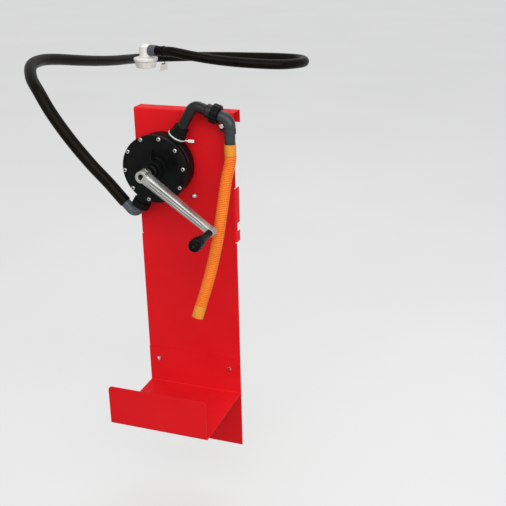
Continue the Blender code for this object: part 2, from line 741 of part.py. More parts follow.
def cover_screw():
    """A pan head screw with its head in front of local zero."""
    length = COVER_FRONT - FLANGE_REAR - SEAT_GAP
    profile = (
        (0, -length),
        (SCREW_RADIUS, -length),
        (SCREW_RADIUS, 0),
        (SCREW_HEAD_RADIUS, 0),
        (SCREW_HEAD_RADIUS, SCREW_HEAD - SCREW_CROWN),
        (SCREW_HEAD_RADIUS - SCREW_CROWN, SCREW_HEAD),
        (0, SCREW_HEAD),
    )
    return turned(profile, SCREW_SIDES)


def build_fasteners(pump):
    """Bolts that clamp the sheets and the pump, with a nut behind the plate on each through bolt."""
    facing_back = (math.pi, 0, 0)
    behind = -SEAT_GAP - NUT_HEIGHT
    nut = hex_nut()

    foot_bolt = hex_bolt(SHEET + FOOT_BOLT_DEPTH)
    for number, place in enumerate(FOOT_PLACES, 1):
        piece(f"pump_bolt_{number}", foot_bolt, ZINC, pump, (place.x, place.y, -SEAT_GAP))

    shelf_seat = 2 * SHEET + 2 * SEAT_GAP
    shelf_bolt = hex_bolt(shelf_seat - behind + BOLT_TAIL)
    for number, (x, y) in enumerate(SHELF_BOLT_PLACES, 1):
        piece(f"shelf_bolt_{number}", shelf_bolt, ZINC, pump, (x, y, shelf_seat), facing_back)
        piece(f"shelf_nut_{number}", nut, ZINC, pump, (x, y, behind))

    clip_seat = CLIP_BACK + CLIP_EAR + SEAT_GAP
    clip_bolt = hex_bolt(clip_seat - behind + BOLT_TAIL)
    place = (CLIP_PLACE.x, CLIP_PLACE.y)
    piece("clip_bolt", clip_bolt, ZINC, pump, (*place, clip_seat), facing_back)
    piece("clip_nut", nut, ZINC, pump, (*place, behind))

    spare_bolt = hex_bolt(SHEET + SPARE_BOLT_PROUD)
    piece("plate_bolt", spare_bolt, ZINC, pump, (*SPARE_BOLT_PLACE, -SEAT_GAP))
    piece("plate_nut", nut, ZINC, pump, (*SPARE_BOLT_PLACE, SHEET + SEAT_GAP))

    screw = cover_screw()
    for number, place in enumerate(SCREW_PLACES, 1):
        piece(f"cover_screw_{number:02d}", screw, STEEL, pump, (place.x, place.y, COVER_FRONT + SEAT_GAP))


# Pump housing


def screw_holes(low, high):
    radius = clear_of(SCREW_RADIUS, SCREW_SIDES)
    return merged([rod(radius, (p.x, p.y, low), (p.x, p.y, high), SCREW_SIDES) for p in SCREW_PLACES])


def pump_body():
    """A drum with a waist and a flange, standing on three feet, with an outlet boss and an inlet neck."""
    bearing = BUSH_RADIUS + BEARING_WALL
    profile = (
        (0, BEARING_REAR - BEARING_END),
        (bearing, BEARING_REAR - BEARING_END),
        (bearing, DRUM_REAR),
        (DRUM_RADIUS - DRUM_CHAMFER, DRUM_REAR),
        (DRUM_RADIUS, DRUM_REAR + DRUM_CHAMFER),
        (DRUM_RADIUS, DRUM_FRONT - DRUM_CHAMFER),
        (DRUM_RADIUS - DRUM_CHAMFER, DRUM_FRONT),
        (WAIST_RADIUS, DRUM_FRONT),
        (WAIST_RADIUS, FLANGE_REAR),
        (FLANGE_RADIUS, FLANGE_REAR),
        (FLANGE_RADIUS, FLANGE_FRONT),
        (0, FLANGE_FRONT),
    )
    axis = {"origin": (0, 0, PORT_PLANE), "direction": on_circle(1.0, PORT_ANGLE)}
    neck_axis = {"origin": (0, 0, PORT_PLANE), "direction": on_circle(-1.0, PORT_ANGLE)}
    root = DRUM_RADIUS - BOSS_ROOT
    boss = ((0, root), (BOSS_RADIUS, root), (BOSS_RADIUS, BOSS_END), (0, BOSS_END))
    neck_tip = NECK_END + NECK_SPIGOT
    neck = (
        (0, root),
        (NECK_RADIUS + NECK_FLARE, root),
        (NECK_RADIUS, DRUM_RADIUS + NECK_LENGTH / 3),
        (NECK_RADIUS, NECK_END),
        (NECK_SPIGOT_RADIUS, NECK_END),
        (NECK_SPIGOT_RADIUS, neck_tip),
        (0, neck_tip),
    )
    foot_low = SHEET + SEAT_GAP
    foot_high = DRUM_REAR + REAR_WALL / 2
    feet = [rod(FOOT_RADIUS, (p.x, p.y, foot_low), (p.x, p.y, foot_high), PIPE_SIDES) for p in FOOT_PLACES]
    solid = join(
        turned(profile, ROUND),
        turned(boss, SMALL_ROUND, **axis),
        turned(neck, SMALL_ROUND, **neck_axis),
        merged(feet),
    )
    offset = on_circle(CHAMBER_OFFSET, PORT_ANGLE + math.pi / 2)
    past = FLANGE_FRONT + FLANGE_THICKNESS
    chamber = rod(
        CHAMBER_RADIUS / math.cos(math.pi / ROUND),
        (offset.x, offset.y, CHAMBER_FLOOR),
        (offset.x, offset.y, past),
        ROUND,
    )
    bearing_hole = clear_of(BUSH_RADIUS, SMALL_ROUND)
    bearing_bore = rod(bearing_hole, (0, 0, BEARING_REAR), (0, 0, CHAMBER_FLOOR + REAR_WALL))
    socket_floor = COLLAR_START - COLLAR_SPIGOT - SEAT_GAP
    socket_radius = clear_of(PIPE_RADIUS, SMALL_ROUND)
    port_way = (
        (0, -neck_tip - REAR_WALL),
        (PORT_BORE, -neck_tip - REAR_WALL),
        (PORT_BORE, socket_floor),
        (socket_radius, socket_floor),
        (socket_radius, BOSS_END + REAR_WALL),
        (0, BOSS_END + REAR_WALL),
    )
    bolt_end = SHEET + FOOT_BOLT_DEPTH
    hole_radius = clear_of(BOLT_RADIUS, HOLE_SIDES)
    foot_holes = [rod(hole_radius, (p.x, p.y, 0), (p.x, p.y, bolt_end), HOLE_SIDES) for p in FOOT_PLACES]
    return cut(
        solid,
        chamber,
        bearing_bore,
        turned(port_way, SMALL_ROUND, **axis),
        merged([*foot_holes, screw_holes(FLANGE_REAR - WAIST_DEPTH / 2, past)]),
    )


def front_cover():
    """A dished cover: a flange with the screws, a plug into the chamber and a boss for the shaft gland."""
    land = FLANGE_RADIUS - COVER_LAND
    foot = min(land - DISH_WIDTH, GLAND_BOSS_RADIUS)
    dish = []
    for step in range(DISH_STEPS + 1):
        share = step / DISH_STEPS
        dish.append((land - DISH_WIDTH * share, COVER_FRONT - DISH_DEPTH * math.sin(share * math.pi / 2)))
    profile = [
        (clear_of(BUSH_RADIUS, ROUND), PLUG_FACE),
        (PLUG_RADIUS, PLUG_FACE),
        (PLUG_RADIUS, COVER_REAR),
        (FLANGE_RADIUS, COVER_REAR),
        (FLANGE_RADIUS, COVER_FRONT - EDGE),
        (FLANGE_RADIUS - EDGE, COVER_FRONT),
        *dish,
        (foot, COVER_FRONT),
        (foot, BOSS_FRONT - EDGE),
        (foot - EDGE, BOSS_FRONT),
        (clear_of(SEAL_RADIUS, ROUND), BOSS_FRONT),
        (clear_of(SEAL_RADIUS, ROUND), SEAL_REAR),
        (clear_of(BUSH_RADIUS, ROUND), SEAL_REAR),
    ]
    rib_root = GLAND_BOSS_RADIUS - RIB_THICKNESS
    rib_low = COVER_FRONT - DISH_DEPTH - EDGE
    outline = (
        (rib_root, rib_low),
        (GLAND_BOSS_RADIUS + RIB_REACH, rib_low),
        (GLAND_BOSS_RADIUS + RIB_REACH, COVER_FRONT - DISH_DEPTH / 2),
        (rib_root, BOSS_FRONT - RIB_SET_BACK),
    )
    rib = prism(outline, -RIB_THICKNESS / 2, RIB_THICKNESS / 2)
    rib.transform(Matrix.Rotation(RIB_ANGLE, 4, "Z") @ Matrix.Rotation(math.pi / 2, 4, "X"))
    solid = join(turned(profile, ROUND), rib)
    return cut(solid, screw_holes(COVER_REAR - GASKET, COVER_FRONT + FLANGE_THICKNESS))


def cover_gasket():
    low = FLANGE_FRONT + SEAT_GAP
    inner = CHAMBER_RADIUS + CHAMBER_OFFSET + SEAT_GAP
    ring = tube(FLANGE_RADIUS, inner, low, low + GASKET, ROUND)
    return cut(ring, screw_holes(low - GASKET, low + 2 * GASKET))


def build_housing(pump):
    piece("pump_body", pump_body(), BLACK_PLASTIC, pump)
    piece("front_cover", front_cover(), BLACK_PLASTIC, pump)
    piece("cover_gasket", cover_gasket(), RUBBER, pump)
    shaft_hole = clear_of(SHAFT_RADIUS, SMALL_ROUND, RUNNING_GAP)
    rear = BEARING_REAR + SEAT_GAP
    piece("rear_bush", tube(BUSH_RADIUS, shaft_hole, rear, CHAMBER_FLOOR), ACETAL, pump)
    piece("front_bush", tube(BUSH_RADIUS, shaft_hole, PLUG_FACE, SEAL_REAR - SEAT_GAP), ACETAL, pump)
    seal_front = SEAL_REAR + SEAT_GAP + SEAL_LENGTH
    piece("shaft_seal", tube(SEAL_RADIUS, shaft_hole, SEAL_REAR + SEAT_GAP, seal_front), RUBBER, pump)
    head = BOSS_FRONT + SEAT_GAP
    gland_hole = clear_of(SHAFT_RADIUS, SMALL_ROUND)
    gland = (
        (gland_hole, seal_front + SEAT_GAP),
        (SEAL_RADIUS, seal_front + SEAT_GAP),
        (SEAL_RADIUS, head),
        (GLAND_NUT_RADIUS, head),
        (GLAND_NUT_RADIUS, head + GLAND_NUT_HEAD - GLAND_NUT_CHAMFER),
        (GLAND_NUT_RADIUS - GLAND_NUT_CHAMFER, head + GLAND_NUT_HEAD),
        (gland_hole, head + GLAND_NUT_HEAD),
    )
    piece("gland_nut", turned(gland), BLACK_PLASTIC, pump)


# Turning pieces, with the arm along local X


def vane_slot_root():
    return VANE_TIP - VANE_LENGTH - SEAT_GAP


def rotor():
    """A drum on the shaft with two open slots for the vanes and a spring pocket behind each."""
    low = CHAMBER_FLOOR + END_CLEARANCE
    high = PLUG_FACE - END_CLEARANCE
    solid = tube(ROTOR_RADIUS, clear_of(SHAFT_RADIUS, ROUND), low, high, ROUND)
    middle = (low + high) / 2
    half = VANE_THICKNESS / 2 + SEAT_GAP
    root = vane_slot_root()
    pocket_radius = (SPRING_MEAN + SPRING_WIRE) / 2 + SEAT_GAP
    floor = root - SPRING_LENGTH - SEAT_GAP
    for side in (1, -1):
        slot = block((root, -half, low - half), (ROTOR_RADIUS + half, half, high + half))
        slot.transform(Matrix.Rotation(0 if side > 0 else math.pi, 4, "Z"))
        ends = [(side * reach, 0, middle) for reach in (floor, root + half)]
        pocket = rod(clear_of(pocket_radius, HOLE_SIDES, 0), *ends, HOLE_SIDES)
        solid = cut(solid, slot, pocket)
    return solid


def vane(side):
    """A flat blade with a rounded tip, shown at the innermost place of its travel."""
    low = CHAMBER_FLOOR + END_CLEARANCE
    high = PLUG_FACE - END_CLEARANCE
    half = VANE_THICKNESS / 2
    root = VANE_TIP - VANE_LENGTH
    outline = [(root, -half)]
    for number in range(BEND_STEPS + 1):
        angle = math.pi * number / BEND_STEPS
        outline.append((VANE_TIP - half + half * math.sin(angle), -half * math.cos(angle)))
    outline.append((root, half))
    return prism([(side * x, side * y) for x, y in outline], low, high)


def vane_spring(side):
    """A coil spring between the pocket's floor and the vane, as one tube along a helix."""
    points_per_turn = 8
    root = vane_slot_root()
    start = root - SPRING_LENGTH
    middle = (CHAMBER_FLOOR + PLUG_FACE) / 2
    run = SPRING_LENGTH - SPRING_WIRE
    count = SPRING_TURNS * points_per_turn
    points = []
    for number in range(count + 1):
        share = number / count
        around = on_circle(SPRING_MEAN / 2, math.tau * SPRING_TURNS * share)
        points.append(Vector((side * (start + SPRING_WIRE / 2 + run * share), around.x, middle + around.y)))
    return tube_curve("vane_spring", points, [SPRING_WIRE / 2] * len(points), SPRING_SIDES)


def crank_arm():
    """A tapered, grooved arm between a hub on the shaft and an eye for the grip's pin."""
    front = CRANK_FRONT - ARM_SET_BACK
    bm = bmesh.new()
    corners = []
    for along, width, depth in (
        (0.0, ARM_ROOT_WIDTH, ARM_ROOT_DEPTH),
        (CRANK_THROW, ARM_TIP_WIDTH, ARM_TIP_DEPTH),
    ):
        half = width / 2
        section = ((-half, front - depth), (half, front - depth), (half, front), (-half, front))
        corners.append([bm.verts.new((along, y, z)) for y, z in section])
    root, tip = corners
    bm.faces.new(root)
    bm.faces.new(tip)
    for side in range(4):
        after = (side + 1) % 4
        bm.faces.new((root[side], root[after], tip[after], tip[side]))
    bmesh.ops.recalc_face_normals(bm, faces=bm.faces)
    long_edges = [edge for edge in bm.edges if abs(edge.verts[0].co.x - edge.verts[1].co.x) > CRANK_THROW / 2]
    bmesh.ops.bevel(bm, geom=long_edges, offset=ARM_EDGE, segments=2, profile=0.5, affect="EDGES")
    hub = rod(HUB_RADIUS, (0, 0, CRANK_FRONT - HUB_LENGTH), (0, 0, CRANK_FRONT))
    eye_back = front - ARM_TIP_DEPTH
    eye = rod(TIP_RADIUS, (CRANK_THROW, 0, eye_back), (CRANK_THROW, 0, CRANK_FRONT))
    solid = join(to_mesh("arm", bm), hub, eye)
    bore = rod(clear_of(SHAFT_RADIUS, SMALL_ROUND), (0, 0, 0), (0, 0, 2 * CRANK_FRONT))
    pin_hole = rod(clear_of(PIN_RADIUS, SMALL_ROUND), (CRANK_THROW, 0, 0), (CRANK_THROW, 0, 2 * CRANK_FRONT))
    level = CRANK_FRONT - HUB_LENGTH / 2
    screw_hole_radius = clear_of(SET_SCREW_RADIUS, HOLE_SIDES)
    screw_hole = rod(screw_hole_radius, (0, 0, level), (0, 2 * HUB_RADIUS, level), HOLE_SIDES)
    grooves = []
    for side in (-1, 1):
        low = side * GROOVE_SPREAD - GROOVE_WIDTH / 2
        start = HUB_RADIUS + GROOVE_MARGIN / 2
        end = CRANK_THROW - TIP_RADIUS - GROOVE_MARGIN / 2
        grooves.append(
            block((start, low, front - GROOVE_DEPTH), (end, low + GROOVE_WIDTH, CRANK_FRONT + GROOVE_DEPTH))
        )
    return cut(solid, bore, pin_hole, screw_hole, merged(grooves))


def grip():
    """A turned handle, slim at the arm and full near its free end, with a recess for the pin's head."""
    start = CRANK_FRONT + SEAT_GAP
    hole_radius = clear_of(PIN_RADIUS, SMALL_ROUND, RUNNING_GAP)
    recess = clear_of(PIN_HEAD_RADIUS, SMALL_ROUND)
    end = start + GRIP_LENGTH
    profile = [(hole_radius, start)]
    for step in range(GRIP_STEPS + 1):
        share = step / GRIP_STEPS
        swell = (1 - math.cos(math.pi * share)) / 2
        radius = GRIP_ROOT_RADIUS + (GRIP_END_RADIUS - GRIP_ROOT_RADIUS) * swell
        profile.append((radius, start + (GRIP_LENGTH - 2 * GRIP_EDGE) * share))
    profile += [
        (GRIP_END_RADIUS - GRIP_EDGE / 3, end - GRIP_EDGE),
        (GRIP_END_RADIUS - GRIP_EDGE, end),
        (recess, end),
        (recess, end - GRIP_RECESS),
        (hole_radius, end - GRIP_RECESS),
    ]
    return turned(profile)


def build_crank(pump):
    """The shaft line and everything that turns with it, and the grip that spins on its pin."""
    crank = axis_empty("crank_axis", (0, 0, 0), (0, 0, CRANK_ANGLE), pump)
    shaft_profile = (
        (0, BEARING_REAR + 2 * SEAT_GAP),
        (SHAFT_RADIUS, BEARING_REAR + 2 * SEAT_GAP),
        (SHAFT_RADIUS, SHAFT_END - EDGE),
        (SHAFT_RADIUS - EDGE, SHAFT_END),
        (0, SHAFT_END),
    )
    piece("shaft", turned(shaft_profile), STEEL, crank)
    piece("rotor", rotor(), BLACK_PLASTIC, crank)
    for letter, side in (("a", 1), ("b", -1)):
        piece(f"vane_{letter}", vane(side), ACETAL, crank)
        piece(f"vane_spring_{letter}", vane_spring(side), STEEL, crank)
    piece("crank_arm", crank_arm(), ALUMINIUM, crank)
    level = CRANK_FRONT - HUB_LENGTH / 2
    head = HUB_RADIUS + SEAT_GAP
    screw = (
        (0, SHAFT_RADIUS + SEAT_GAP),
        (SET_SCREW_RADIUS, SHAFT_RADIUS + SEAT_GAP),
        (SET_SCREW_RADIUS, head),
        (SET_SCREW_HEAD_RADIUS, head),
        (SET_SCREW_HEAD_RADIUS, head + SET_SCREW_HEAD),
        (0, head + SET_SCREW_HEAD),
    )
    piece("crank_set_screw", turned(screw, HOLE_SIDES, (0, 0, level), (0, 1, 0)), STEEL, crank)
    handle = axis_empty("grip_axis", (CRANK_THROW, 0, 0), (0, 0, 0), crank)
    pin_back = CRANK_FRONT - ARM_SET_BACK - ARM_TIP_DEPTH
    grip_floor = CRANK_FRONT + SEAT_GAP + GRIP_LENGTH - GRIP_RECESS + RUNNING_GAP
    pin = (
        (0, pin_back),
        (PIN_RADIUS, pin_back),
        (PIN_RADIUS, grip_floor),
        (PIN_HEAD_RADIUS, grip_floor),
        (PIN_HEAD_RADIUS, grip_floor + PIN_HEAD),
        (0, grip_floor + PIN_HEAD),
    )
    piece("grip_pin", turned(pin), STEEL, handle)
    piece("grip", grip(), BLACK_PLASTIC, handle)


# Pipework


def ribbed_nut(radius, bore, lip_bore, low, lip, high, origin, direction):
    """A union nut with ribs round it: a wide bore from the low end and a lip that holds the tail in."""
    sides = 2 * NUT_RIBS
    profile = (
        (clear_of(bore, sides), low),
        (radius - EDGE, low),
        (radius, low + EDGE),
        (radius, high - EDGE),
        (radius - EDGE, high),
        (clear_of(lip_bore, sides), high),
        (clear_of(lip_bore, sides), lip),
        (clear_of(bore, sides), lip),
    )
    bm = bmesh.new()
    bm.from_mesh(turned(profile, sides))
    inside = radius - 2 * EDGE
    step = math.tau / sides
    for vert in bm.verts:
        number = round(math.atan2(vert.co.y, vert.co.x) / step)
        if math.hypot(vert.co.x, vert.co.y) > inside and number % 2:
            vert.co.xy *= 1 - NUT_RIB / radius
    bm.transform(pointing(origin, direction))
    return to_mesh("nut", bm, smooth=False)


def outlet_collar():
    """A stepped, ribbed fitting: a spigot into the pump's boss and a socket for the riser."""
    origin = (0, 0, PORT_PLANE)
    step = COLLAR_LENGTH / 14
    middle = (COLLAR_BASE_RADIUS + COLLAR_TOP_RADIUS) / 2
    socket_floor = COLLAR_END - COLLAR_SOCKET
    profile = (
        (PORT_BORE, COLLAR_START - COLLAR_SPIGOT),
        (PIPE_RADIUS, COLLAR_START - COLLAR_SPIGOT),
        (PIPE_RADIUS, COLLAR_START),
        (COLLAR_BASE_RADIUS, COLLAR_START),
        (COLLAR_BASE_RADIUS, COLLAR_START + 4 * step),
        (middle + EDGE, COLLAR_START + 5 * step),
        (middle, COLLAR_START + 8 * step),
        (middle - COLLAR_GROOVE, COLLAR_START + 8.5 * step),
        (middle - COLLAR_GROOVE, COLLAR_START + 9.5 * step),
        (middle, COLLAR_START + 10 * step),
        (middle, COLLAR_END - EDGE),
        (middle - EDGE, COLLAR_END),
        (clear_of(PIPE_RADIUS, SMALL_ROUND), COLLAR_END),
        (clear_of(PIPE_RADIUS, SMALL_ROUND), socket_floor),
        (PORT_BORE, socket_floor),
    )
    return turned(profile, SMALL_ROUND, origin, on_circle(1.0, PORT_ANGLE))


def straight(points, radius):
    return [(Vector(point), radius) for point in points]


def riser_pipe():
    """The pipe up from the pump: one bend, then a bell and a tail for the union."""
    foot = port_point(COLLAR_END - COLLAR_SOCKET + SEAT_GAP)
    nut_start = UNION_MIDDLE - FALL * (UNION_LENGTH / 2 + SEAT_GAP)
    bell = nut_start - FALL * BELL_LENGTH
    tip = UNION_MIDDLE - FALL * (SEAL_RING / 2 + SEAT_GAP)
    outside = straight(rounded((foot, RISER_CORNER, bell), RISER_BEND), PIPE_RADIUS)
    outside += straight((bell, nut_start), BELL_RADIUS) + straight((nut_start, tip), UNION_TAIL_RADIUS)
    inside = straight(rounded((foot, RISER_CORNER, tip), RISER_BEND), PIPE_BORE)
    return pipe(outside, inside)


def spout_elbow():
    """The second bend, from the union's flanged tail down to a narrow end inside the hose."""
    start = UNION_MIDDLE + FALL * (SEAL_RING / 2 + SEAT_GAP)
    flange = start + FALL * UNION_TAIL
    swell = UNION_MIDDLE + FALL * (UNION_LENGTH / 2 + SEAT_GAP)
    turn = math.pi / 2 + FALL_ANGLE
    swell_drop = SPOUT_BEND * math.tan(turn / 2) + SPOUT_SWELL_PAST
    swell_end = SPOUT_CORNER - Vector((0, swell_drop, 0))
    shoulder = HOSE_TOP + Vector((0, SEAT_GAP, 0))
    outside = straight((start, flange), UNION_TAIL_RADIUS) + straight((flange, swell), PIPE_RADIUS)
    outside += straight(rounded((swell, SPOUT_CORNER, swell_end), SPOUT_BEND), PIPE_RADIUS + SPOUT_SWELL)
    outside += straight((swell_end, shoulder), PIPE_RADIUS)
    outside += straight((shoulder, SPOUT_END), SPOUT_SPIGOT_RADIUS)
    inside = straight(rounded((start, SPOUT_CORNER, SPOUT_END), SPOUT_BEND), PIPE_BORE)
    return pipe(outside, inside)


def spout_clip():
    """A saddle behind the spout with a flat ear that the clip bolt holds."""
    inner = clear_of(PIPE_RADIUS, SMALL_ROUND)
    outer = inner + CLIP_BAND
    centre = Vector((SPOUT_CORNER.x, CLIP_PLACE.y - CLIP_BAND_DROP, PORT_PLANE))
    half = CLIP_WIDTH / 2
    saddle = rod(outer, centre - Vector((0, half, 0)), centre + Vector((0, half, 0)))
    margin = 2 * BOLT_RADIUS
    ear_front = CLIP_BACK + CLIP_EAR
    arm = block(
        (CLIP_PLACE.x - margin, centre.y - half + EDGE, CLIP_BACK),
        (SPOUT_CORNER.x, centre.y + half - EDGE, ear_front),
    )
    ear = block(
        (CLIP_PLACE.x - margin, centre.y, CLIP_BACK),
        (CLIP_PLACE.x + margin, CLIP_PLACE.y + margin, ear_front),
    )
    reach = Vector((0, 2 * CLIP_WIDTH, 0))
    bore = rod(inner, centre - reach, centre + reach)
    front = block(
        centre - Vector((2 * outer, CLIP_WIDTH, 0)),
        centre + Vector((2 * outer, CLIP_WIDTH, 2 * outer)),
    )
    return cut(join(saddle, arm, ear), bore, front, hole(CLIP_PLACE.x, CLIP_PLACE.y))


def build_pipework(pump):
    along = on_circle(1.0, PORT_ANGLE)
    port = (0, 0, PORT_PLANE)
    piece("outlet_collar", outlet_collar(), BLACK_PLASTIC, pump)
    seal_low = BOSS_END + SEAT_GAP
    seal_hole = clear_of(PIPE_RADIUS, SMALL_ROUND)
    ring = tube(SEAL_RING_RADIUS, seal_hole, seal_low, seal_low + SEAL_RING, SMALL_ROUND, port, along)
    piece("outlet_seal", ring, RUBBER, pump)
    piece("riser_pipe", riser_pipe(), CHARCOAL_PLASTIC, pump)
    piece("spout_elbow", spout_elbow(), CHARCOAL_PLASTIC, pump)
    half = UNION_LENGTH / 2
    lip = SEAL_RING / 2 + UNION_TAIL + 2 * SEAT_GAP
    nut = ribbed_nut(UNION_RADIUS, UNION_TAIL_RADIUS, PIPE_RADIUS, -half, lip, half, UNION_MIDDLE, FALL)
    piece("union_nut", nut, BLACK_PLASTIC, pump)
    ring = tube(
        UNION_TAIL_RADIUS, PIPE_BORE, -SEAL_RING / 2, SEAL_RING / 2, SMALL_ROUND, UNION_MIDDLE, FALL
    )
    piece("union_seal", ring, RUBBER, pump)
    piece("spout_clip", spout_clip(), CHARCOAL_PLASTIC, pump)
    spacer_low = SHEET + SEAT_GAP
    spacer = tube(
        SPACER_RADIUS,
        clear_of(BOLT_RADIUS, HOLE_SIDES),
        spacer_low,
        CLIP_BACK - SEAT_GAP,
        HOLE_SIDES,
        (CLIP_PLACE.x, CLIP_PLACE.y, 0),
    )
    piece("clip_spacer", spacer, BLACK_PLASTIC, pump)


def inlet_exit():
    """The end of the inlet elbow and the direction that the suction hose leaves it in, in pump axes."""
    corner = port_point(-INLET_CORNER)
    way = on_circle(1.0, INLET_EXIT)
    return corner, corner + way * INLET_TAIL, way


def build_inlet(pump):
    down = on_circle(-1.0, PORT_ANGLE)
    port = (0, 0, PORT_PLANE)
    low = NECK_END + SEAT_GAP
    tip = NECK_END + NECK_SPIGOT
    tail_start = tip + SEAL_RING + 2 * SEAT_GAP
    lip = tail_start + UNION_TAIL + SEAT_GAP
    nut = ribbed_nut(INLET_NUT_RADIUS, NECK_SPIGOT_RADIUS, PIPE_RADIUS, low, lip, INLET_NUT_END, port, down)
    piece("inlet_nut", nut, BLACK_PLASTIC, pump)
    seal_low = tip + SEAT_GAP
    ring = tube(NECK_SPIGOT_RADIUS, PIPE_BORE, seal_low, seal_low + SEAL_RING, SMALL_ROUND, port, down)
    piece("inlet_seal", ring, RUBBER, pump)
    corner, end, way = inlet_exit()
    start = port_point(-tail_start)
    flange = port_point(-tail_start - UNION_TAIL)
    outside = straight((start, flange), UNION_TAIL_RADIUS)
    outside += straight(rounded((flange, corner, end), INLET_BEND), PIPE_RADIUS)
    inside = straight(rounded((start, corner, end), INLET_BEND), PIPE_BORE)
    piece("inlet_elbow", pipe(outside, inside), GREY_PLASTIC, pump)


# Hoses


def tube_curve(name, points, radii, sides):
    """A round tube along the points, as a bevelled curve with filled ends; each point has its radius."""
    curve = bpy.data.curves.new(name, "CURVE")
    curve.dimensions = "3D"
    curve.bevel_depth = max(radii)
    curve.bevel_resolution = (sides - 4) // 2  # the bevel then has this even number of sides
    curve.use_fill_caps = True
    spline = curve.splines.new("POLY")
    spline.points.add(len(points) - 1)
    for point, place, radius in zip(spline.points, points, radii):
        point.co = (*place, 1.0)
        point.radius = radius / max(radii)
    return curve


def smooth_route(route, steps=24):
    """Closely spaced points along one smooth curve through the route's own points.

    Each stretch is a cubic whose slope at a route point is the slope of the chord between its neighbours.
    """
    route = [Vector(point) for point in route]
    times = [0.0]
    for before, after in zip(route, route[1:]):
        times.append(times[-1] + (after - before).length)
    slopes = []
    for index in range(len(route)):
        low = max(index - 1, 0)
        high = min(index + 1, len(route) - 1)
        slopes.append((route[high] - route[low]) / (times[high] - times[low]))
    dense = [route[0]]
    for index in range(len(route) - 1):
        span = times[index + 1] - times[index]
        for step in range(1, steps + 1):
            t = step / steps
            start_share = (1 + 2 * t) * (1 - t) ** 2
            end_share = t * t * (3 - 2 * t)
            point = route[index] * start_share + route[index + 1] * end_share
            point += slopes[index] * span * t * (1 - t) ** 2
            point += slopes[index + 1] * span * t * t * (t - 1)
            dense.append(point)
    return dense


def along_route(dense, distances):
    """The points at the given distances along a closely spaced path."""
    result = []
    travelled = 0.0
    segments = list(zip(dense, dense[1:]))
    index = 0
    for distance in distances:
        while index < len(segments) - 1:
            length = (segments[index][1] - segments[index][0]).length
            if travelled + length >= distance:
                break
            travelled += length
            index += 1
        start, end = segments[index]
        result.append(start.lerp(end, (distance - travelled) / (end - start).length))
    return result


def route_length(dense):
    return sum((after - before).length for before, after in zip(dense, dense[1:]))


def delivery_hose():
    """A ribbed hose pushed over the spout: a plain cuff, then ribs, with an open bore."""
    top = pump_place(*HOSE_TOP)
    down = Vector((0, 0, -DELIVERY_STRAIGHT))
    dense = smooth_route((top, top + down, top + 2 * down, *DELIVERY_ROUTE))
    length = route_length(dense)
    ribs = int((length - 2 * DELIVERY_CUFF) / DELIVERY_PITCH)
    distances = [0.0, DELIVERY_CUFF]
    radii = [DELIVERY_RADIUS, DELIVERY_RADIUS]
    for rib in range(ribs):
        foot = DELIVERY_CUFF + DELIVERY_PITCH * rib
        distances += [foot + DELIVERY_PITCH * RIB_VALLEY_SHARE, foot + DELIVERY_PITCH * RIB_CREST_SHARE]
        radii += [DELIVERY_VALLEY, DELIVERY_RADIUS]
    distances.append(length)
    radii.append(DELIVERY_RADIUS)
    bulge = 1 / math.sqrt(math.cos(math.pi / HOSE_SIDES))  # a faceted tube of about the round one's size
    line = along_route(dense, distances)
    outside = tube_curve("outside", line, [radius * bulge for radius in radii], HOSE_SIDES)
    bore_radius = clear_of(SPOUT_SPIGOT_RADIUS, HOSE_SIDES)
    overrun = (dense[-1] - dense[-2]).normalized() * DELIVERY_CUFF
    bore_line = along_route(dense, [length * number / BORE_STEPS for number in range(BORE_STEPS + 1)])
    bore_line = [top + Vector((0, 0, DELIVERY_CUFF)), *bore_line, dense[-1] + overrun]
    bore = tube_curve("bore", bore_line, [bore_radius] * len(bore_line), HOSE_SIDES)
    print(f"delivery hose: {length:.3f} m, {ribs} ribs")
    return cut(baked(scratch(outside)), baked(scratch(bore)))


def coupler_branch(distance):
    """The point this far out along the axis of the coupler's branch."""
    middle = Vector((COUPLER_X, COUPLER_Y, COUPLER_BASE + COUPLER_OUTLET))
    return middle + distance * Vector((math.cos(COUPLER_TURN), math.sin(COUPLER_TURN), 0))


def suction_path():
    """The suction hose's line, from the inlet elbow round to the coupler's tail, with straight ends."""
    corner, end, way = inlet_exit()
    start = pump_place(*(end + way * SEAT_GAP))
    step = (pump_place(*(end + way)) - pump_place(*end)) * SUCTION_STRAIGHT
    tail = COUPLER_TAIL_END + SEAT_GAP
    ending = [coupler_branch(tail + steps * SUCTION_STRAIGHT) for steps in (2, 1, 0)]
    return smooth_route((start, start + step, start + 2 * step, *SUCTION_ROUTE, *ending))


def build_hoses():
    piece("delivery_hose", delivery_hose(), ORANGE_HOSE)
    dense = suction_path()
    length = route_length(dense)
    run = length - 2 * SUCTION_STRAIGHT
    count = round(run / SUCTION_SPACING)
    distances = [SUCTION_STRAIGHT + run * number / count for number in range(count + 1)]
    points = along_route(dense, [0.0, *distances, length])
    print(f"suction hose: {length:.3f} m, {len(points)} points")
    tube_line = tube_curve("suction_hose", points, [SUCTION_RADIUS] * len(points), SUCTION_SIDES)
    piece("suction_hose", tube_line, BLACK_HOSE)


# Coupler and ties


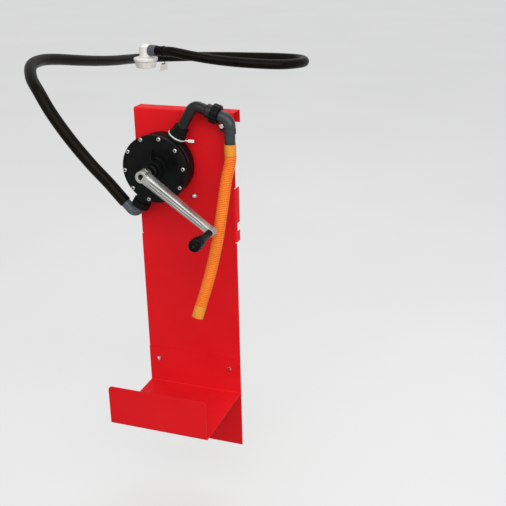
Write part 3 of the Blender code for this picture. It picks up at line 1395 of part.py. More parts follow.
def coupler_body():
    """A cup that seats over the tank's neck, with a flared rim, a stub and a side branch."""
    base = COUPLER_BASE
    rim = base + COUPLER_RIM_BASE
    rim_top = rim + COUPLER_RIM
    stub = rim_top + COUPLER_SHOULDER
    top = base + COUPLER_HEIGHT
    edge = COUPLER_EDGE
    way_top = base + COUPLER_OUTLET + edge
    profile = (
        (0, way_top),
        (PORT_BORE, way_top),
        (PORT_BORE, base + COUPLER_HOLLOW),
        (COUPLER_HOLLOW_RADIUS, base + COUPLER_HOLLOW),
        (COUPLER_HOLLOW_RADIUS, base),
        (COUPLER_BASE_RADIUS, base),
        (COUPLER_CUP_RADIUS, rim),
        (COUPLER_RIM_RADIUS, rim + 2 * edge),
        (COUPLER_RIM_RADIUS, rim_top - edge),
        (COUPLER_RIM_RADIUS - edge, rim_top),
        (COUPLER_CUP_RADIUS - 2 * edge, rim_top + edge),
        (COUPLER_STUB_RADIUS + edge, stub),
        (COUPLER_STUB_RADIUS, stub + edge),
        (COUPLER_STUB_RADIUS, top - COUPLER_CHAMFER),
        (COUPLER_STUB_RADIUS - COUPLER_CHAMFER, top),
        (0, top),
    )
    solid = turned(profile, SMALL_ROUND, Vector((COUPLER_X, COUPLER_Y, 0)))
    branch = rod(COUPLER_BRANCH_RADIUS, coupler_branch(0), coupler_branch(COUPLER_BRANCH))
    way = rod(PORT_BORE - edge / 2, coupler_branch(0), coupler_branch(2 * COUPLER_BRANCH))
    return cut(join(solid, branch), way)


def coupler_elbow():
    """A grey tail on the coupler's branch that the suction hose meets."""
    start = COUPLER_STUB_RADIUS + SEAT_GAP
    socket = COUPLER_BRANCH + SEAT_GAP
    hole_radius = clear_of(COUPLER_BRANCH_RADIUS, SMALL_ROUND)
    profile = (
        (hole_radius, start),
        (COUPLER_TAIL_RADIUS - EDGE, start),
        (COUPLER_TAIL_RADIUS, start + 2 * EDGE),
        (COUPLER_TAIL_RADIUS, COUPLER_TAIL_END),
        (PIPE_BORE, COUPLER_TAIL_END),
        (PIPE_BORE, socket),
        (hole_radius, socket),
    )
    return turned(profile, SMALL_ROUND, coupler_branch(0), coupler_branch(1) - coupler_branch(0))


def flag_tie(radius, origin, direction, flag_tip, flag_size, facing):
    """A strap round a pipe, with a tail that carries a flat flag out to its tip."""
    inner = clear_of(radius, SMALL_ROUND)
    outer = inner + TIE_THICKNESS
    strap = tube(outer, inner, -TIE_WIDTH / 2, TIE_WIDTH / 2, SMALL_ROUND, origin, direction)
    origin = Vector(origin)
    tip = Vector(flag_tip)
    axis = Vector(direction).normalized()
    spoke = tip - origin
    spoke -= axis * spoke.dot(axis)
    root = origin + spoke.normalized() * (inner + TIE_THICKNESS / 2)
    run = tip - root
    long_way = run.normalized()
    flat = (Vector(facing) - long_way * long_way.dot(facing)).normalized()
    matrix = Matrix.Translation(root) @ Matrix((long_way, flat.cross(long_way), flat)).transposed().to_4x4()
    half = TIE_THICKNESS / 2
    tail_half = TIE_TAIL_WIDTH / 2
    flag_length, flag_width = flag_size
    tail = block((0, -tail_half, -half), (run.length - flag_length / 2, tail_half, half), matrix)
    flag_half = flag_width / 2
    flag_start = run.length - flag_length
    thin = FLAG_THICKNESS / 2
    flag = block((flag_start, -flag_half, -thin), (run.length, flag_half, thin), matrix)
    return join(strap, tail, flag)


def build_coupler():
    piece("coupler_body", coupler_body(), WHITE_PLASTIC)
    piece("coupler_elbow", coupler_elbow(), GREY_PLASTIC)
    centre = (COUPLER_X, COUPLER_Y, COUPLER_BASE + COUPLER_HOLLOW - COUPLER_GASKET - SEAT_GAP)
    outer = COUPLER_HOLLOW_RADIUS * math.cos(math.pi / SMALL_ROUND) - SEAT_GAP
    gasket = tube(outer, outer - COUPLER_GASKET_WIDTH, 0, COUPLER_GASKET, SMALL_ROUND, centre)
    piece("coupler_gasket", gasket, RUBBER)


def build_ties(pump):
    place = port_point(COLLAR_START + OUTLET_TIE_AT)
    along = on_circle(1.0, PORT_ANGLE)
    aside = on_circle(OUTLET_FLAG_ASIDE, PORT_ANGLE - math.pi / 2, -OUTLET_FLAG_BACK)
    flag_tip = port_point(BOSS_END + OUTLET_FLAG_PAST) + aside
    tie = flag_tie(COLLAR_BASE_RADIUS, place, along, flag_tip, OUTLET_FLAG_SIZE, OUTLET_FLAG_FACING)
    piece("outlet_tie", tie, WHITE_PLASTIC, pump)
    dense = suction_path()
    length = route_length(dense)
    before, place, after = along_route(
        dense, [length - HOSE_TIE_AT - TIE_WIDTH, length - HOSE_TIE_AT, length - HOSE_TIE_AT + TIE_WIDTH]
    )
    strap = SUCTION_RADIUS + HOSE_TIE_SLACK
    flag_tip = Vector((COUPLER_X, COUPLER_Y, COUPLER_BASE)) + Vector(HOSE_FLAG)
    tie = flag_tie(strap, place, after - before, flag_tip, HOSE_FLAG_SIZE, HOSE_FLAG_FACING)
    piece("hose_tie", tie, WHITE_PLASTIC)


def build():
    clear_scene()
    piece("mounting_plate", mounting_plate(), RED_COAT)
    piece("shelf_bracket", shelf_bracket(), RED_COAT)
    pump = axis_empty("pump_axis", (PUMP_X, 0, PUMP_Z), (math.pi / 2, 0, 0))
    build_fasteners(pump)
    build_housing(pump)
    build_crank(pump)
    build_pipework(pump)
    build_inlet(pump)
    build_hoses()
    build_coupler()
    build_ties(pump)
    count = sum(obj.type in {"MESH", "CURVE"} for obj in bpy.data.objects)
    print(f"{count} pieces")


build()
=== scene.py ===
# %% [markdown]
# # A rotary hand transfer pump on a hanging plate
# A crank turns a vane pump that is bolted to a folded red plate. The plate hangs by a hook along its top
# and carries a shelf. A black hose brings the liquid in from a white coupler, and an orange hose takes it
# down to the shelf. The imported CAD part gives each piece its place. This file gives the pieces their
# finished surfaces, worked out with numpy, and their finishes, made of shader nodes.

# %% Load the frame
import math

import bmesh
import bpy
import numpy as np
from mathutils import Matrix, Vector


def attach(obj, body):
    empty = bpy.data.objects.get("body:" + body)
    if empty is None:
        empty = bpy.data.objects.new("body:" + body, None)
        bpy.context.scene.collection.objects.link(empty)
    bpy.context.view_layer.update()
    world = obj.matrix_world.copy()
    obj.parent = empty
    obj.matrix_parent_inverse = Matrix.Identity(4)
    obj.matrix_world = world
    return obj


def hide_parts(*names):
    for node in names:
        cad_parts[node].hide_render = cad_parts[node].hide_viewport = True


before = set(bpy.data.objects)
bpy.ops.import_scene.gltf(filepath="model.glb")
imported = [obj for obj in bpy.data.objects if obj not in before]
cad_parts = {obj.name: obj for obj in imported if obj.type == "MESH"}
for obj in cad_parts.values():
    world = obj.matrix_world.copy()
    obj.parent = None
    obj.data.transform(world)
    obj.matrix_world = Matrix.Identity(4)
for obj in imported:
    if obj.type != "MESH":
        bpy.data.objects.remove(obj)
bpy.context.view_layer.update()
MM = 0.001

# %% [markdown]
# ## Camera
# The photograph was taken from the right of the pump and from above it. A camera is a place, a heading, a
# dip, a tilt and a lens, so those are the values here. Its focal length is in pixels of the square
# picture, because that is how a picture is measured, and the lens in millimetres follows from it.

# %% Camera
PICTURE_SIDE = 506  # pixels
FOCAL_PIXELS = 878.9
CAMERA_PLACE = (0.849, -1.851, 0.436)
HEADING, DIP, TILT = np.radians((20.22, 21.41, -1.18))

forward = np.array((-np.sin(HEADING) * np.cos(DIP), np.cos(HEADING) * np.cos(DIP), -np.sin(DIP)))
level = np.array((np.cos(HEADING), np.sin(HEADING), 0.0))
rise = np.cross(level, forward)
right = level * np.cos(TILT) + rise * np.sin(TILT)
above = rise * np.cos(TILT) - level * np.sin(TILT)
camera = bpy.data.objects.new("camera", bpy.data.cameras.new("camera"))
bpy.context.scene.collection.objects.link(camera)
turn = Matrix(np.stack((right, above, -forward), axis=1).tolist()).to_4x4()
camera.matrix_world = Matrix.Translation(CAMERA_PLACE) @ turn
camera.data.lens = FOCAL_PIXELS / PICTURE_SIDE * camera.data.sensor_width
bpy.context.scene.camera = camera
print(f"lens {camera.data.lens:.1f} mm")

# %% [markdown]
# ## Colours and nodes
# A colour picked from a screen is in sRGB, and a shader works in linear light, so one function turns a
# hex value into linear numbers. One more adds a node to a material: its own settings, then its inputs,
# each a plain value or a socket to link.


# %% Colour and node helpers
def linear(colour):
    """A hex colour as linear red, green, blue and alpha.

    Each channel c is c / 12.92 up to 0.04, and ((c + 0.055) / 1.055) ** 2.4 above it.
    """
    value = np.array([int(colour[start:start + 2], 16) for start in (0, 2, 4)]) / 255
    light = np.where(value <= 0.04045, value / 12.92, ((value + 0.055) / 1.055) ** 2.4)
    return (*light.tolist(), 1.0)


def add(tree, kind, settings=(), inputs=()):
    """A new node with its settings; an input is a value to set or another node's socket to link."""
    node = tree.nodes.new(kind)
    for name, value in dict(settings).items():
        setattr(node, name, value)
    for name, value in dict(inputs).items():
        if isinstance(value, bpy.types.NodeSocket):
            tree.links.new(value, node.inputs[name])
        else:
            node.inputs[name].default_value = value
    return node


COAT_RED = "D0151C"
print("red coat in linear light:", [round(value, 3) for value in linear(COAT_RED)])

# %% [markdown]
# ## Four patterns that the finishes share
# Real surfaces are never one flat colour. `tone` drifts the colour between two close shades, `gloss`
# drifts the roughness, and `relief` raises a grain that catches the light. Each takes the size of its
# pattern in millimetres. The groove pattern paints shade: it mixes a darker colour over the base colour
# by a weight from 0 to 1, which a piece carries in an attribute of its own points, mostly in its grooves.
# `finish` makes a material: it sets the Principled shader's own sockets, then lays on the patterns that
# it is given.

# %% Patterns
MIX_FACTOR, MIX_FROM, MIX_TO, MIX_RESULT = 0, 6, 7, 2  # a mix node's colour sockets, which share their names
TONE_STOPS = 0.35, 0.65  # a noise lies mostly between these
NOISE_LOW, NOISE_HIGH = 0.3, 0.7


def per_metre(size):
    """How often a pattern of this size in millimetres repeats in a metre: a texture's scale."""
    return 1.0 / (size * MM)


def tone(tree, shader, place, size, dark, light):
    """The base colour drifts between two shades with a noise of the given size."""
    waves = {"Vector": place, "Scale": per_metre(size), "Detail": 4.0}
    noise = add(tree, "ShaderNodeTexNoise", {}, waves).outputs["Fac"]
    ramp = add(tree, "ShaderNodeValToRGB", {}, {"Fac": noise})
    for stop, position, shade in zip(ramp.color_ramp.elements, TONE_STOPS, (dark, light)):
        stop.position = position
        stop.color = linear(shade)
    tree.links.new(ramp.outputs["Color"], shader.inputs["Base Color"])


def paint_groove_shade(tree, shader, colour):
    """Painted shade: the weight attribute mixes a darker colour over the base colour."""
    depth = add(tree, "ShaderNodeAttribute", {"attribute_name": "painted_shade_weight"}).outputs["Fac"]
    base = shader.inputs["Base Color"].links[0].from_socket
    colours = {MIX_FACTOR: depth, MIX_FROM: base, MIX_TO: linear(colour)}
    mix = add(tree, "ShaderNodeMix", {"data_type": "RGBA"}, colours)
    tree.links.new(mix.outputs[MIX_RESULT], shader.inputs["Base Color"])


def gloss(tree, shader, place, size, low, high):
    """The roughness drifts between two values with a noise of the given size."""
    waves = {"Vector": place, "Scale": per_metre(size), "Detail": 3.0}
    noise = add(tree, "ShaderNodeTexNoise", {}, waves).outputs["Fac"]
    ends = {"From Min": NOISE_LOW, "From Max": NOISE_HIGH, "To Min": low, "To Max": high}
    spread = add(tree, "ShaderNodeMapRange", {}, {"Value": noise, **ends})
    tree.links.new(spread.outputs["Result"], shader.inputs["Roughness"])


def relief(tree, shader, place, size, depth, stretch=(1.0, 1.0, 1.0)):
    """A grain of the given size and depth in millimetres; a stretch below 1 draws it out along that axis."""
    spot = add(tree, "ShaderNodeMapping", {}, {"Vector": place, "Scale": stretch}).outputs["Vector"]
    waves = {"Vector": spot, "Scale": per_metre(size), "Detail": 2.0}
    noise = add(tree, "ShaderNodeTexNoise", {}, waves).outputs["Fac"]
    bump = add(tree, "ShaderNodeBump", {}, {"Height": noise, "Distance": depth * MM, "Strength": 1.0})
    tree.links.new(bump.outputs["Normal"], shader.inputs["Normal"])


def finish(name, colour, roughness, metallic=0.0, *, tones, groove_shade="", sheen=(), grain=(), **sockets):
    """A material: the Principled shader's sockets, then its tones and each other pattern that is given."""
    material = bpy.data.materials.new(name)
    material.use_nodes = True
    tree = material.node_tree
    shader = tree.nodes["Principled BSDF"]
    values = {"Base Color": linear(colour), "Roughness": roughness, "Metallic": metallic}
    values.update({key.replace("_", " "): value for key, value in sockets.items()})
    for key, value in values.items():
        shader.inputs[key].default_value = value
    place = add(tree, "ShaderNodeTexCoord").outputs["Object"]
    tone(tree, shader, place, *tones)
    if groove_shade:
        paint_groove_shade(tree, shader, groove_shade)
    if sheen:
        gloss(tree, shader, place, *sheen)
    if grain:
        relief(tree, shader, place, *grain)
    return material


# %% [markdown]
# ## Finishes
# Each finish is named for what the real one is and how it was made, and for any painted light or shade
# that it carries. Grain that is too fine to show at this size of picture is drawn a little coarser than
# life.

# %% Sheet, plastics and rubber
# Powder coat on folded steel: a strong even red with the slight ripple of a baked coat.
red_coat = finish(
    "powder_coat_red", COAT_RED, 0.52, tones=(160, "CD141B", "D3171E"),
    sheen=(60, 0.46, 0.58), grain=(3.0, 0.008), Specular_IOR_Level=0.1,
)

# Glass-filled polypropylene, moulded: nearly black, half glossy, with a fine spark-eroded grain.
black_moulded = finish(
    "polypropylene_black_moulded", "0B0C0C", 0.36, tones=(25, "090A0A", "0E0F0F"),
    sheen=(12, 0.3, 0.42), grain=(1.2, 0.02), Specular_IOR_Level=0.08,
)

# Polypropylene pipe, extruded and bent: charcoal and a little chalky, drawn darker than the spout as
# painted shade.
charcoal_pipe_shaded = finish(
    "polypropylene_charcoal_pipe_painted_shade", "171517", 0.36, tones=(30, "131113", "1C1A1C"),
    sheen=(9, 0.3, 0.42), grain=(1.6, 0.03), Specular_IOR_Level=0.25,
)

# PVC spout, moulded: the pipe's charcoal drawn lighter and greyer as painted light, and smoother.
charcoal_spout_lit = finish(
    "pvc_charcoal_spout_painted_light", "2B2E31", 0.3, tones=(30, "262A2D", "303336"),
    sheen=(9, 0.25, 0.36), grain=(1.6, 0.02), Specular_IOR_Level=0.28,
)

# PVC elbow, moulded: slate grey and satin.
slate_moulded = finish(
    "pvc_slate_moulded", "4C5157", 0.42, tones=(22, "464B51", "52575D"),
    sheen=(10, 0.36, 0.5), grain=(1.4, 0.025), Specular_IOR_Level=0.3,
)

# Polyethylene in its natural white: light sinks in a little, so edges glow softly.
white_moulded = finish(
    "polyethylene_natural_moulded", "D9D6D1", 0.38, tones=(18, "D3D0CA", "DFDDD9"),
    sheen=(8, 0.32, 0.46), grain=(1.2, 0.02),
    Subsurface_Weight=0.2, Subsurface_Scale=3 * MM, Subsurface_Radius=(1.0, 0.95, 0.88),
)

# Film of the flags, cut from a sheet: a warmer white than the mouldings, and matte.
flag_film = finish(
    "polypropylene_film_cut", "D6CDC5", 0.6, tones=(12, "D0C7BF", "DCD3CB"), Specular_IOR_Level=0.2
)

# Acetal, machined: the pale, waxy plastic of bushes and vanes.
acetal = finish(
    "acetal_machined", "DAD6CA", 0.4, tones=(10, "D2CEC1", "E2DED3"), grain=(0.8, 0.01, (1.0, 0.1, 1.0))
)

# Nitrile rubber, moulded: the matte black of seals.
seal_rubber = finish(
    "nitrile_rubber_moulded", "1A1A1A", 0.7, tones=(6, "161616", "202020"), grain=(0.7, 0.02)
)

# Phenolic plastic of the grip, moulded and worn smooth: black with a faint, tight highlight.
grip_black = finish(
    "phenolic_black_grip", "0D0B0B", 0.28, tones=(14, "0A0909", "110F0F"),
    sheen=(16, 0.22, 0.34), grain=(2.0, 0.01), Specular_IOR_Level=0.04,
)
print(len(bpy.data.materials), "materials so far")

# %% Hoses and metals
# Plasticised PVC of the ribbed hose, extruded: saturated orange that lets a little light in.
# Its grooves darken towards their bottoms to a deeper orange: a painted shade.
orange_hose = finish(
    "pvc_orange_hose", "E8892A", 0.3, tones=(40, "E48426", "EC8E2E"), groove_shade="D24C02",
    sheen=(10, 0.3, 0.42), Subsurface_Weight=0.1, Subsurface_Scale=2 * MM, Specular_IOR_Level=0.14,
)

# The same hose's cuffs, pressed smooth: thicker, so a browner amber, with a clear highlight.
amber_cuff = finish(
    "pvc_amber_cuff", "CF8526", 0.22, tones=(20, "C97F22", "D58B2A"),
    sheen=(10, 0.18, 0.28), Specular_IOR_Level=0.3,
)

# EPDM rubber hose, extruded: brown-black with a soft sheen and a fine grain.
black_hose = finish(
    "epdm_black_hose", "0D0A06", 0.32, tones=(60, "090704", "130F08"),
    sheen=(30, 0.3, 0.42), grain=(2.4, 0.03), Specular_IOR_Level=0.06,
)

# Cast aluminium of the crank, linished and pale. Its grooves and the lower half of its front take
# a painted shade, a darker grey.
aluminium = finish(
    "aluminium_cast_linished", "B2B2AE", 0.46, 1.0, tones=(30, "AAAAA6", "BABAB6"), groove_shade="848480",
    sheen=(14, 0.4, 0.52),
)

# Zinc plate on bolts and nuts: bright, a little cloudy.
zinc = finish("zinc_plate_bright", "C9C9C4", 0.28, 1.0, tones=(4, "BEBFBA", "D6D6D1"), sheen=(3, 0.2, 0.38))

# Stainless steel of the screws and the vane springs, turned and drawn: bright, with fine clouds.
steel = finish(
    "stainless_steel_turned", "B0AFAC", 0.24, 1.0, tones=(3, "A3A29F", "BDBCB9"), sheen=(2, 0.18, 0.34)
)

# Blackened steel of the shaft and the pin; the same near-black in the screws' sockets is a painted shade
# for their depth.
blackened_and_socket_shade = finish("steel_blackened_and_socket_shade", "161513", 0.5, 0.5, tones=(2, "110F0E", "1C1A17"))
print(len(bpy.data.materials), "materials in all")

# %% [markdown]
# ## Surfaces from grids
# Every new piece is a grid of points: its rows run along the piece and its columns run round it. `shell`
# joins the grid's neighbours into faces, and `piece` makes one object of its shells. A closed ring, such
# as a pipe with a bore, joins its last row to its first; anything else gets a flat cap at each end.

# %% From grid to object
SHARP_ANGLE = math.radians(32)
MERGE_DISTANCE = 1e-7


def shell(grid, ring=False, mark_from=None, painted_shade_weight=0.0):
    """A closed surface from a grid of points: (points, faces, finish numbers, painted shade weights).

    Each face joins a point, the next one round, and the same two in the next row. Rows from mark_from on,
    and the cap after them, take the second finish.
    """
    rows, columns = grid.shape[:2]
    row = np.arange(rows if ring else rows - 1)[:, None]
    column = np.arange(columns)[None, :]
    next_row = (row + 1) % rows * columns
    next_column = (column + 1) % columns
    this_row = row * columns
    corners = (this_row + column, this_row + next_column, next_row + next_column, next_row + column)
    faces = np.stack(np.broadcast_arrays(*corners), axis=-1).reshape(-1, 4).tolist()
    first_marked = rows if mark_from is None else mark_from
    marks = np.repeat(row[:, 0] >= first_marked, columns).astype(int).tolist()
    if not ring:
        faces += [list(range(columns))[::-1], list(range((rows - 1) * columns, rows * columns))]
        marks += [0, int(mark_from is not None)]
    return grid.reshape(-1, 3), faces, marks, np.broadcast_to(painted_shade_weight, (rows, columns)).ravel()


def piece(name, shells, finishes, nodes, body="frame"):
    """One object from closed shells, at the origin: it stands for the CAD nodes and rides on the body."""
    points, shell_faces, marks, groove_shade = zip(*shells)
    starts = np.cumsum([0] + [len(group) for group in points]).tolist()
    faces = []
    for start, group in zip(starts, shell_faces):
        faces += [[corner + start for corner in face] for face in group]
    mesh = bpy.data.meshes.new(name)
    mesh.from_pydata(np.concatenate(points).tolist(), [], faces)
    mesh.polygons.foreach_set("material_index", sum(marks, []))
    # Each point's weight of painted shade, for the finishes that darken grooves.
    mesh.attributes.new("painted_shade_weight", "FLOAT", "POINT").data.foreach_set("value", np.concatenate(groove_shade))
    bm = bmesh.new()
    bm.from_mesh(mesh)
    bmesh.ops.remove_doubles(bm, verts=bm.verts, dist=MERGE_DISTANCE)
    bmesh.ops.recalc_face_normals(bm, faces=bm.faces)
    bm.to_mesh(mesh)
    bm.free()
    mesh.shade_smooth()
    mesh.set_sharp_from_angle(angle=SHARP_ANGLE)
    for material in finishes:
        mesh.materials.append(material)
    obj = bpy.data.objects.new(name, mesh)
    bpy.context.scene.collection.objects.link(obj)
    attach(obj, body)
    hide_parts(*nodes)
    print(f"{name}: {len(mesh.polygons)} faces")
    return obj


# %% [markdown]
# ## Profiles and paths
# Most of the pump is round, so it can be written as a profile: pairs of a distance along an axis and a
# radius. `turned` spins a profile about a straight axis, and `carried` takes it along a bent path, as a
# pipe or a hose. `rounded` softens a profile's corners or bends a path's corners with true arcs, and
# `fine` adds points between. `spun` does the most common work in one go: it softens a profile that is
# given in millimetres, spins it and closes it into a shell.

# %% Profile and path helpers
NEARLY_HALF = 0.49  # of a side that two arcs share


def unit(vectors):
    return vectors / np.linalg.norm(vectors, axis=-1, keepdims=True)


def rounded(points, radius, steps=6, closed=False):
    """Corners become arcs: ((1-t)²a + 2wt(1-t)c + t²b) / ((1-t)² + 2wt(1-t) + t²), for t from 0 to 1.

    c is the corner, a and b lie radius * tan(turn / 2) before and after it, and w is cos(turn / 2), which
    makes the curve a true arc. Short sides limit the distance to nearly half their length.
    """
    points = np.array(points, float)
    before, after = np.roll(points, 1, axis=0), np.roll(points, -1, axis=0)
    into, out = points - before, after - points
    sides = np.linalg.norm(into, axis=1), np.linalg.norm(out, axis=1)
    into, out = into / sides[0][:, None], out / sides[1][:, None]
    half = np.arccos(np.clip(np.sum(into * out, axis=1), -1, 1)) / 2
    reach = np.minimum(radius * np.tan(half), NEARLY_HALF * np.minimum(*sides))[:, None]
    weight = np.cos(half)[:, None, None]
    t = np.linspace(0, 1, steps + 1)[None, :, None]
    shares = (1 - t) ** 2, 2 * weight * t * (1 - t), t ** 2
    ends = (points - into * reach)[:, None], points[:, None], (points + out * reach)[:, None]
    arcs = sum(share * end for share, end in zip(shares, ends)) / sum(shares)
    if closed:
        line = arcs.reshape(-1, points.shape[1])
    else:
        line = np.concatenate((points[:1], arcs[1:-1].reshape(-1, points.shape[1]), points[-1:]))
    keep = np.linalg.norm(np.diff(line, axis=0), axis=1) > MERGE_DISTANCE
    return line[np.concatenate(([True], keep))]


def fine(points, step, closed=False):
    """The same line with each side split evenly into parts no longer than the step."""
    points = np.concatenate((points, points[:1])) if closed else np.array(points)
    sides = np.diff(points, axis=0)
    parts = np.maximum(np.ceil(np.linalg.norm(sides, axis=1) / step).astype(int), 1)
    side = np.repeat(np.arange(len(parts)), parts)
    number = np.arange(parts.sum()) - np.repeat(np.cumsum(parts) - parts, parts)
    line = points[side] + sides[side] * (number / parts[side])[:, None]
    return line if closed else np.concatenate((line, points[-1:]))


def around(centre, way, across, radius, columns):
    """Rings of points: centre + radius * (cos a * across + sin a * over), where over is square to both."""
    over = np.cross(way, across)
    angle = np.linspace(0, math.tau, columns, endpoint=False)[None, :, None]
    spoke = np.cos(angle) * across[:, None] + np.sin(angle) * over[:, None]
    return centre[:, None] + radius[:, None, None] * spoke


def turned(profile, origin, direction, columns=72):
    """A profile of (distance, radius) spun about the straight axis from the origin along the direction."""
    profile = np.array(profile)
    way = unit(np.array(direction, float))
    across = unit(np.cross(way, np.eye(3)[np.argmin(np.abs(way))]))
    centre = np.array(origin) + profile[:, :1] * way
    rows = len(profile)
    return around(centre, np.tile(way, (rows, 1)), np.tile(across, (rows, 1)), profile[:, 1], columns)


def spun(points, origin, direction, edge, columns=72, steps=4, ring=False, second_rows=0):
    """A shell from profile points and an edge radius in millimetres.

    A ring's profile closes on itself, so the shell has a bore. The last second_rows rows, where there are
    any, take the second finish.
    """
    profile = rounded(np.array(points) * MM, edge * MM, steps, closed=ring)
    mark_from = len(profile) - second_rows if second_rows else None
    return shell(turned(profile, origin, direction, columns), ring, mark_from)


def carried(profile, path, aside, columns=40):
    """A profile of (distance, radius) carried along a path; rings stay square to the path's heading.

    The distance picks a point and a heading on the path by straight interpolation along its length.
    """
    lengths = np.concatenate(([0.0], np.cumsum(np.linalg.norm(np.diff(path, axis=0), axis=1))))
    headings = np.gradient(path, lengths, axis=0)
    both = np.concatenate((path, headings), axis=1)
    picked = np.stack([np.interp(profile[:, 0], lengths, values) for values in both.T], axis=1)
    way = unit(picked[:, 3:])
    across = unit(np.cross(way, np.array(aside, float)))
    return around(picked[:, :3], way, across, profile[:, 1], columns)


def path_length(path):
    return float(np.sum(np.linalg.norm(np.diff(path, axis=0), axis=1)))


print("arc check:", rounded([(0, 0), (1, 0), (1, 1)], 0.5, 2).round(3).tolist())

# %% [markdown]
# ## The pump's own axes
# The pump's pieces are easiest to place from its shaft: x to the right, y up, and h along the shaft from
# the plate's back towards the person. `pump` turns such points into the frame's axes. The ports lie on
# one slanted line through the shaft, and the pipework's corners follow from it.

# %% Pump axes and the pipework's corners
PUMP_X, PUMP_Z = -46 * MM, -125 * MM
PORT_ANGLE, FALL_ANGLE = math.radians(58.9), math.radians(-18.2)
PORT_PLANE = 32 * MM
BOSS_END = 79.5 * MM
RISER_REACH = 92 * MM  # from the boss to the first corner
UNION_REACH, SPOUT_REACH = 55.7 * MM, 90.7 * MM  # from the first corner
SPOUT_DROP = 56.8 * MM  # from the second corner to the hose's top edge


def pump(points):
    """Points given as (x, y, h) in the pump's axes: (PUMP_X + x, -h, PUMP_Z + y) in the frame."""
    points = np.array(points, float)
    return np.stack((PUMP_X + points[..., 0], -points[..., 2], PUMP_Z + points[..., 1]), axis=-1)


def on_circle(radius, angle, height=0.0):
    """A point on a circle round the shaft, in the frame's axes."""
    return pump((radius * math.cos(angle), radius * math.sin(angle), height))


def on_port(distance):
    """A point on the ports' line at a distance from the shaft, in the pump's axes."""
    return np.array((distance * math.cos(PORT_ANGLE), distance * math.sin(PORT_ANGLE), PORT_PLANE))


shaft_foot = pump((0, 0, 0))
towards_person = np.array((0.0, -1.0, 0.0))
away = -towards_person
port_origin = pump((0, 0, PORT_PLANE))
port_way = np.array((math.cos(PORT_ANGLE), 0.0, math.sin(PORT_ANGLE)))
fall = np.array((math.cos(FALL_ANGLE), math.sin(FALL_ANGLE), 0.0))
riser_corner = on_port(BOSS_END + RISER_REACH)
union_middle = riser_corner + fall * UNION_REACH
spout_corner = riser_corner + fall * SPOUT_REACH
hose_top = spout_corner - np.array((0, SPOUT_DROP, 0))
print("hose starts at", pump(hose_top).round(4).tolist())

# %% [markdown]
# ## The two hoses
# A hose is a fixed length of something that bends. Its line is one smooth curve through a few points, the
# same points as in the CAD part: each stretch is a cubic whose slope at a point is that of the chord
# between the point's neighbours. The hose itself is a profile carried along that line. On the orange hose
# the profile has a plain cuff at each end and a wave for the ribs between.


# %% Hose lines
def smooth_route(points, steps=24):
    """A cubic through the points: position and slope at both ends of each stretch give the four blends."""
    points = np.array(points)
    spans = np.linalg.norm(np.diff(points, axis=0), axis=1)
    times = np.concatenate(([0.0], np.cumsum(spans)))
    number = np.arange(len(points))
    low, high = np.maximum(number - 1, 0), np.minimum(number + 1, len(points) - 1)
    slopes = (points[high] - points[low]) / (times[high] - times[low])[:, None]
    t = np.linspace(0, 1, steps, endpoint=False)[None, :, None]
    span = spans[:, None, None]
    line = points[:-1, None] * (1 + 2 * t) * (1 - t) ** 2 + points[1:, None] * t ** 2 * (3 - 2 * t)
    line += slopes[:-1, None] * span * t * (1 - t) ** 2 + slopes[1:, None] * span * t ** 2 * (t - 1)
    return np.concatenate((line.reshape(-1, 3), points[-1:]))


DELIVERY_STRAIGHT = np.array((0, 0, -19.0)) * MM
delivery_start = pump(hose_top)
delivery_line = smooth_route([
    delivery_start,
    delivery_start + DELIVERY_STRAIGHT,
    delivery_start + 2 * DELIVERY_STRAIGHT,
    (0.1200, -0.0400, -0.1470),
    (0.1130, -0.0565, -0.2200),
    (0.1055, -0.0755, -0.2935),
    (0.0930, -0.0965, -0.3680),
    (0.0690, -0.1240, -0.4660),
])

INLET_EXIT = math.radians(133)
INLET_CORNER, INLET_TAIL = 152.79 * MM, 38 * MM
SEAT_GAP = 0.3 * MM
SUCTION_STRAIGHT = 31 * MM
COUPLER = np.array((-0.405, 0.627, -0.0175))
COUPLER_OUTLET, COUPLER_TAIL_END = 53 * MM, 45 * MM
BRANCH_TURN = math.radians(-12)
inlet_corner = on_port(-INLET_CORNER)
inlet_way = np.array((math.cos(INLET_EXIT), math.sin(INLET_EXIT), 0.0))
inlet_end = inlet_corner + inlet_way * INLET_TAIL
suction_start = pump(inlet_end + inlet_way * SEAT_GAP)
suction_step = (pump(inlet_end + inlet_way) - pump(inlet_end)) * SUCTION_STRAIGHT
branch_origin = COUPLER + np.array((0, 0, COUPLER_OUTLET))
branch_way = np.array((math.cos(BRANCH_TURN), math.sin(BRANCH_TURN), 0.0))
suction_end = branch_origin + branch_way * (COUPLER_TAIL_END + SEAT_GAP)
suction_back = branch_way * SUCTION_STRAIGHT
suction_line = smooth_route([
    suction_start, suction_start + suction_step, suction_start + 2 * suction_step,
    (-0.2335, -0.039, -0.137), (-0.284, -0.043, -0.076), (-0.331, -0.041, -0.0145), (-0.365, -0.033, 0.034),
    (-0.403, 0.000, 0.058), (-0.444, 0.066, 0.076), (-0.464, 0.143, 0.077), (-0.468, 0.223, 0.067),
    (-0.463, 0.328, 0.048), (-0.462, 0.428, 0.031), (-0.464, 0.538, 0.015), (-0.469, 0.638, 0.003),
    (-0.470, 0.708, -0.005), (-0.455, 0.788, -0.014), (-0.415, 0.853, -0.021), (-0.350, 0.898, -0.024),
    (-0.270, 0.923, -0.025), (-0.190, 0.933, -0.025), (-0.080, 0.930, -0.023), (0.013, 0.891, -0.019),
    (0.052, 0.798, -0.013), (0.013, 0.705, -0.006), (-0.080, 0.665, 0.001), (-0.165, 0.646, 0.009),
    (-0.245, 0.622, 0.023),
    suction_end + 2 * suction_back, suction_end + suction_back, suction_end,
])
delivery_length = path_length(delivery_line)
suction_length = path_length(suction_line)
print(f"delivery hose {delivery_length:.3f} m, suction hose {suction_length:.3f} m")

# %% Delivery hose
DELIVERY_RADIUS, DELIVERY_RIB, DELIVERY_BORE = 13.8 * MM, 0.9 * MM, 11.3 * MM
CUFF, RIB_PITCH = 26 * MM, 4.2 * MM
CUFF_ROWS, RIB_ROWS, BORE_ROWS = 8, 8, 120

